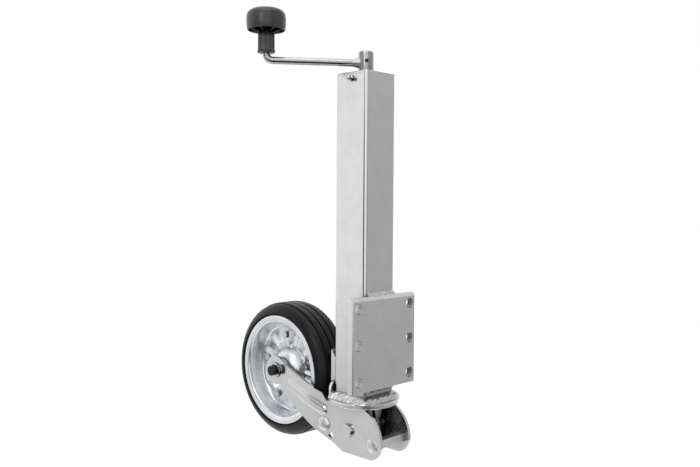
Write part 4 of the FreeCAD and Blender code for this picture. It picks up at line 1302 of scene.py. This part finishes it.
@dataclass
class SmallParts:
    """The pivot pin with its rounded ends and the grease nipple with its ball head.

    The nipple's two profiles are (radius, distance from its tip) in metres.
    """

    pin_place: Vector3
    pin_radius: float
    pin_half: float
    nipple_tip: Vector3
    pin_edge: float = 1.2 * MM
    pin_inset: float = 2.5 * MM
    hexagon: Tuple[Span, ...] = ((4.3 * MM, 11.6 * MM), (5.0 * MM, 11.2 * MM), (5.0 * MM, 8.4 * MM),
                                 (4.3 * MM, 7.6 * MM))
    ball: Tuple[Span, ...] = (
        (2.0 * MM, 8.0 * MM), (2.0 * MM, 6.2 * MM), (2.7 * MM, 5.4 * MM), (3.6 * MM, 4.4 * MM),
        (3.9 * MM, 3.2 * MM), (3.6 * MM, 1.8 * MM), (2.7 * MM, 0.6 * MM), (1.4 * MM, 0.05 * MM), (POLE, 0.0))

    @classmethod
    def from_frame(cls) -> "SmallParts":
        """Take the places and the pin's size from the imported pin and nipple.

        Returns:
            The small parts, ready to build.
        """
        (pin, pin_half), (nipple, nipple_half) = box_of("pivot_pin"), box_of("grease_nipple")
        tip = (nipple[0], nipple[1] - nipple_half[1], nipple[2])
        return cls((pin[0], 0.0, pin[2]), pin_half[0], pin_half[1], tip)

    def pivot_pin(self) -> bpy.types.Object:
        """A plain round pin whose two ends are rounded over by quarter circles.

        Returns:
            The pin.
        """
        half = self.pin_half - self.pin_inset
        turn = np.linspace(0.0, math.pi / 2.0, 8)
        end = joined(self.pin_radius - self.pin_edge * (1.0 - np.sin(turn)),
                     self.pin_edge * (1.0 - np.cos(turn)) - half)
        end = np.vstack([[POLE, -half], end])
        profile = np.vstack([end, end[::-1] * np.array([1.0, -1.0])])
        grid = turned_grid(profile[:, :1], profile[:, 1:], self.pin_place, 72)
        parts = MeshParts().add_grid(grid, wrap_columns=True, cap_rows=True)
        return parts.to_object("dressed_pivot_pin", smooth_angle=60.0)

    def grease_nipple(self) -> bpy.types.Object:
        """A hexagon against the tube, a narrow neck and a ball-shaped head.

        Returns:
            The nipple.
        """
        parts = MeshParts()
        for profile, steps in ((np.array(self.hexagon), 6), (np.array(self.ball), 40)):
            grid = turned_grid(profile[:, :1], profile[:, 1:], self.nipple_tip, steps)
            parts.add_grid(grid, wrap_columns=True, cap_rows=True)
        return parts.to_object("dressed_grease_nipple", smooth_angle=35.0)

    def build(self, finishes: Finishes) -> List[bpy.types.Object]:
        """Make and dress both pieces."""
        return [finishes.fit(self.pivot_pin(), "fork_zinc", "leg", "pivot_pin"),
                finishes.fit(self.grease_nipple(), "fastener_zinc", "column", "grease_nipple")]


@dataclass
class WeldBead:
    """A weld laid along a path between two faces, with the ripple of its puddles and slow lumps.

    Pitches, heights and the root's depth are in metres. wander is the share by which the weld's edges
    stray, with their pitches as multiples of the lumps' pitch. crest_lag is how far the ripples bend
    back at the edges, in ripples.
    """

    ripple_pitch: float = 4.2 * MM
    ripple_height: float = 0.35 * MM
    ripple_drift: float = 2.0
    crest_lag: float = 0.35
    lump_pitch: float = 17.0 * MM
    lump_height: float = 0.9 * MM
    lump_slant: float = 0.6
    wander: float = 0.10
    wander_pitches: Span = (1.7, 1.3)
    root: float = 0.4 * MM
    face_points: int = 17
    parts: MeshParts = field(default_factory=MeshParts)

    def lay(self, path: np.ndarray, ways: Sequence[Any], legs: Span, seed: int, bulge: float = 0.12) -> None:
        """Lay one run of weld.

        The section is a chord between the ends of its two legs, bowed outwards, with ripples along the
        path whose crests lag behind at the edges, and slow lumps.

        Args:
            path: Corner line of shape (n, 3).
            ways: Unit directions of the two legs, each one vector or an array of shape (n, 3).
            legs: Lengths of the two legs.
            seed: Seed of the noise.
            bulge: Bow of the face as a share of the legs.
        """
        run = np.concatenate([[0.0], np.cumsum(np.linalg.norm(np.diff(path, axis=0), axis=1))])[:, None]
        across = np.linspace(0.0, 1.0, self.face_points)[None, :]
        bow = np.sin(math.pi * across)
        edges = [1.0 + self.wander * noise_along(run, self.lump_pitch * pitch, seed + index)
                 for index, pitch in enumerate(self.wander_pitches)]
        ripple = self.ripple_height * np.sin(TURN * (run / self.ripple_pitch + self.crest_lag * bow)
                                             + self.ripple_drift * noise_along(run, self.lump_pitch, seed + 2))
        lump = self.lump_height * noise_along(run + self.lump_slant * self.lump_pitch * across,
                                              self.lump_pitch, seed + 3)
        rise = bow * (bulge * 0.5 * (legs[0] + legs[1]) + ripple + lump)
        shares = [(1.0 - across) * legs[0] * edges[0], across * legs[1] * edges[1]]
        first, second = (np.broadcast_to(way, path.shape) for way in ways)
        out = first + second
        out = out / np.linalg.norm(out, axis=1, keepdims=True)
        face = (path[:, None, :] + first[:, None, :] * shares[0][..., None]
                + second[:, None, :] * shares[1][..., None] + out[:, None, :] * rise[..., None])
        heel = path[:, None, :] - out[:, None, :] * self.root
        self.parts.add_grid(np.concatenate([heel, face], axis=1), wrap_columns=True, cap_rows=True)

    def finish(self, name: str, node: str, finishes: Finishes) -> bpy.types.Object:
        """Turn the runs into one dressed piece of the column."""
        return finishes.fit(self.parts.to_object(name, smooth_angle=70.0), "weld_paint", "column", node)


@dataclass
class Column:
    """The square tube with its welded plate and collar disc.

    Legs are the two legs of a weld. The insets are how far the plate's welds keep inside the tube's faces,
    in radii of its corners.
    """

    tube_low: Vector3
    tube_high: Vector3
    plate_low: Vector3
    plate_high: Vector3
    corner: float = 6.0 * MM
    weld_step: float = 1.0 * MM
    collar_legs: Span = (10.0 * MM, 14.0 * MM)
    collar_bulge: float = 0.22
    plate_end_legs: Span = (6.5 * MM, 6.5 * MM)
    plate_side_legs: Span = (7.0 * MM, 6.0 * MM)
    end_inset: float = 0.8
    side_inset: float = 0.3

    @classmethod
    def from_frame(cls) -> "Column":
        """Take the boxes of the tube and the plate from the frame."""
        return cls(*(tuple(corner) for node in ("outer_tube", "mounting_plate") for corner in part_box(node)))

    def outline(self) -> Tuple[np.ndarray, np.ndarray]:
        """Walk round the tube's rounded square outline, from its back left corner.

        The walk leaves the tube's back face out, where the guard stands.

        Returns:
            Points and their outward ways, both of shape (n, 2).
        """
        half = (self.tube_high[1] - self.tube_low[1]) / 2.0
        middle_x = (self.tube_high[0] + self.tube_low[0]) / 2.0
        flat = half - self.corner
        places: List[np.ndarray] = []
        ways: List[np.ndarray] = []
        sides = (((-half, -half), (flat, -half), 270.0, (flat, -flat)),
                 ((half, -flat), (half, flat), 0.0, (flat, flat)),
                 ((flat, half), (-half, half), 90.0, None))
        for start, end, facing, centre in sides:
            count = max(int(math.hypot(end[0] - start[0], end[1] - start[1]) / self.weld_step), 2)
            share = np.linspace(0.0, 1.0, count)[:, None]
            places.append(np.array(start) * (1.0 - share) + np.array(end) * share)
            angle = math.radians(facing)
            ways.append(np.repeat([[math.cos(angle), math.sin(angle)]], count, axis=0))
            if centre:
                turn = np.radians(np.linspace(facing, facing + 90.0, 14))[1:-1]
                spoke = joined(np.cos(turn), np.sin(turn))
                places.append(np.array(centre) + self.corner * spoke)
                ways.append(spoke)
        return np.vstack(places) + np.array([middle_x, 0.0]), np.vstack(ways)

    def collar_weld(self, finishes: Finishes) -> bpy.types.Object:
        """A heavy weld between the tube's foot and the disc, round three sides.

        Args:
            finishes: The materials.

        Returns:
            The dressed weld.
        """
        place, way = self.outline()
        outwards = joined(way[:, 0], way[:, 1], 0.0)
        bead = WeldBead(ripple_pitch=7.5 * MM, ripple_height=0.22 * MM, lump_height=1.0 * MM)
        bead.lay(joined(place[:, 0], place[:, 1], self.tube_low[2]), ((0.0, 0.0, 1.0), outwards),
                 self.collar_legs, seed=7, bulge=self.collar_bulge)
        return bead.finish("collar_weld_bead", "collar_weld", finishes)

    def plate_welds(self, finishes: Finishes) -> bpy.types.Object:
        """Four runs round the plate's back: over its top, under its foot and down both sides.

        Args:
            finishes: The materials.

        Returns:
            The dressed welds.
        """
        back = self.plate_low[0]
        outside = (self.tube_high[1] - self.tube_low[1]) / 2.0
        half = outside - self.end_inset * self.corner
        along = np.arange(-half, half, self.weld_step)
        bead = WeldBead()
        for height, up, seed in ((self.plate_high[2], 1.0, 21), (self.plate_low[2], -1.0, 31)):
            bead.lay(joined(back, along, height), ((1.0, 0.0, 0.0), (0.0, 0.0, up)), self.plate_end_legs,
                     seed)
        rise = np.arange(self.plate_low[2] + self.weld_step, self.plate_high[2] - self.weld_step,
                         self.weld_step)
        for side, seed in ((-1.0, 41), (1.0, 51)):
            edge = side * (outside - self.side_inset * self.corner)
            bead.lay(joined(back, edge, rise), ((0.0, side, 0.0), (-1.0, 0.0, 0.0)), self.plate_side_legs,
                     seed)
        return bead.finish("plate_weld_bead", "plate_welds", finishes)

    def build(self, finishes: Finishes) -> List[bpy.types.Object]:
        """Lay the collar weld and the plate welds."""
        return [self.collar_weld(finishes), self.plate_welds(finishes)]


def main() -> None:
    """Load the frame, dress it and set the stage."""
    logging.basicConfig(level=logging.INFO, format="%(name)s %(message)s")
    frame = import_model()
    finishes = Finishes().build()
    finishes.dress_frame(frame)
    for assembly in (Column, Fork, Wheel, Knob, SmallParts):
        for piece in assembly.from_frame().build(finishes):
            LOG.info("%s: %d faces", piece.name, len(piece.data.polygons))
    Studio().build()
    bpy.context.scene.view_settings.view_transform = "Standard"


if __name__ == "__main__":
    main()
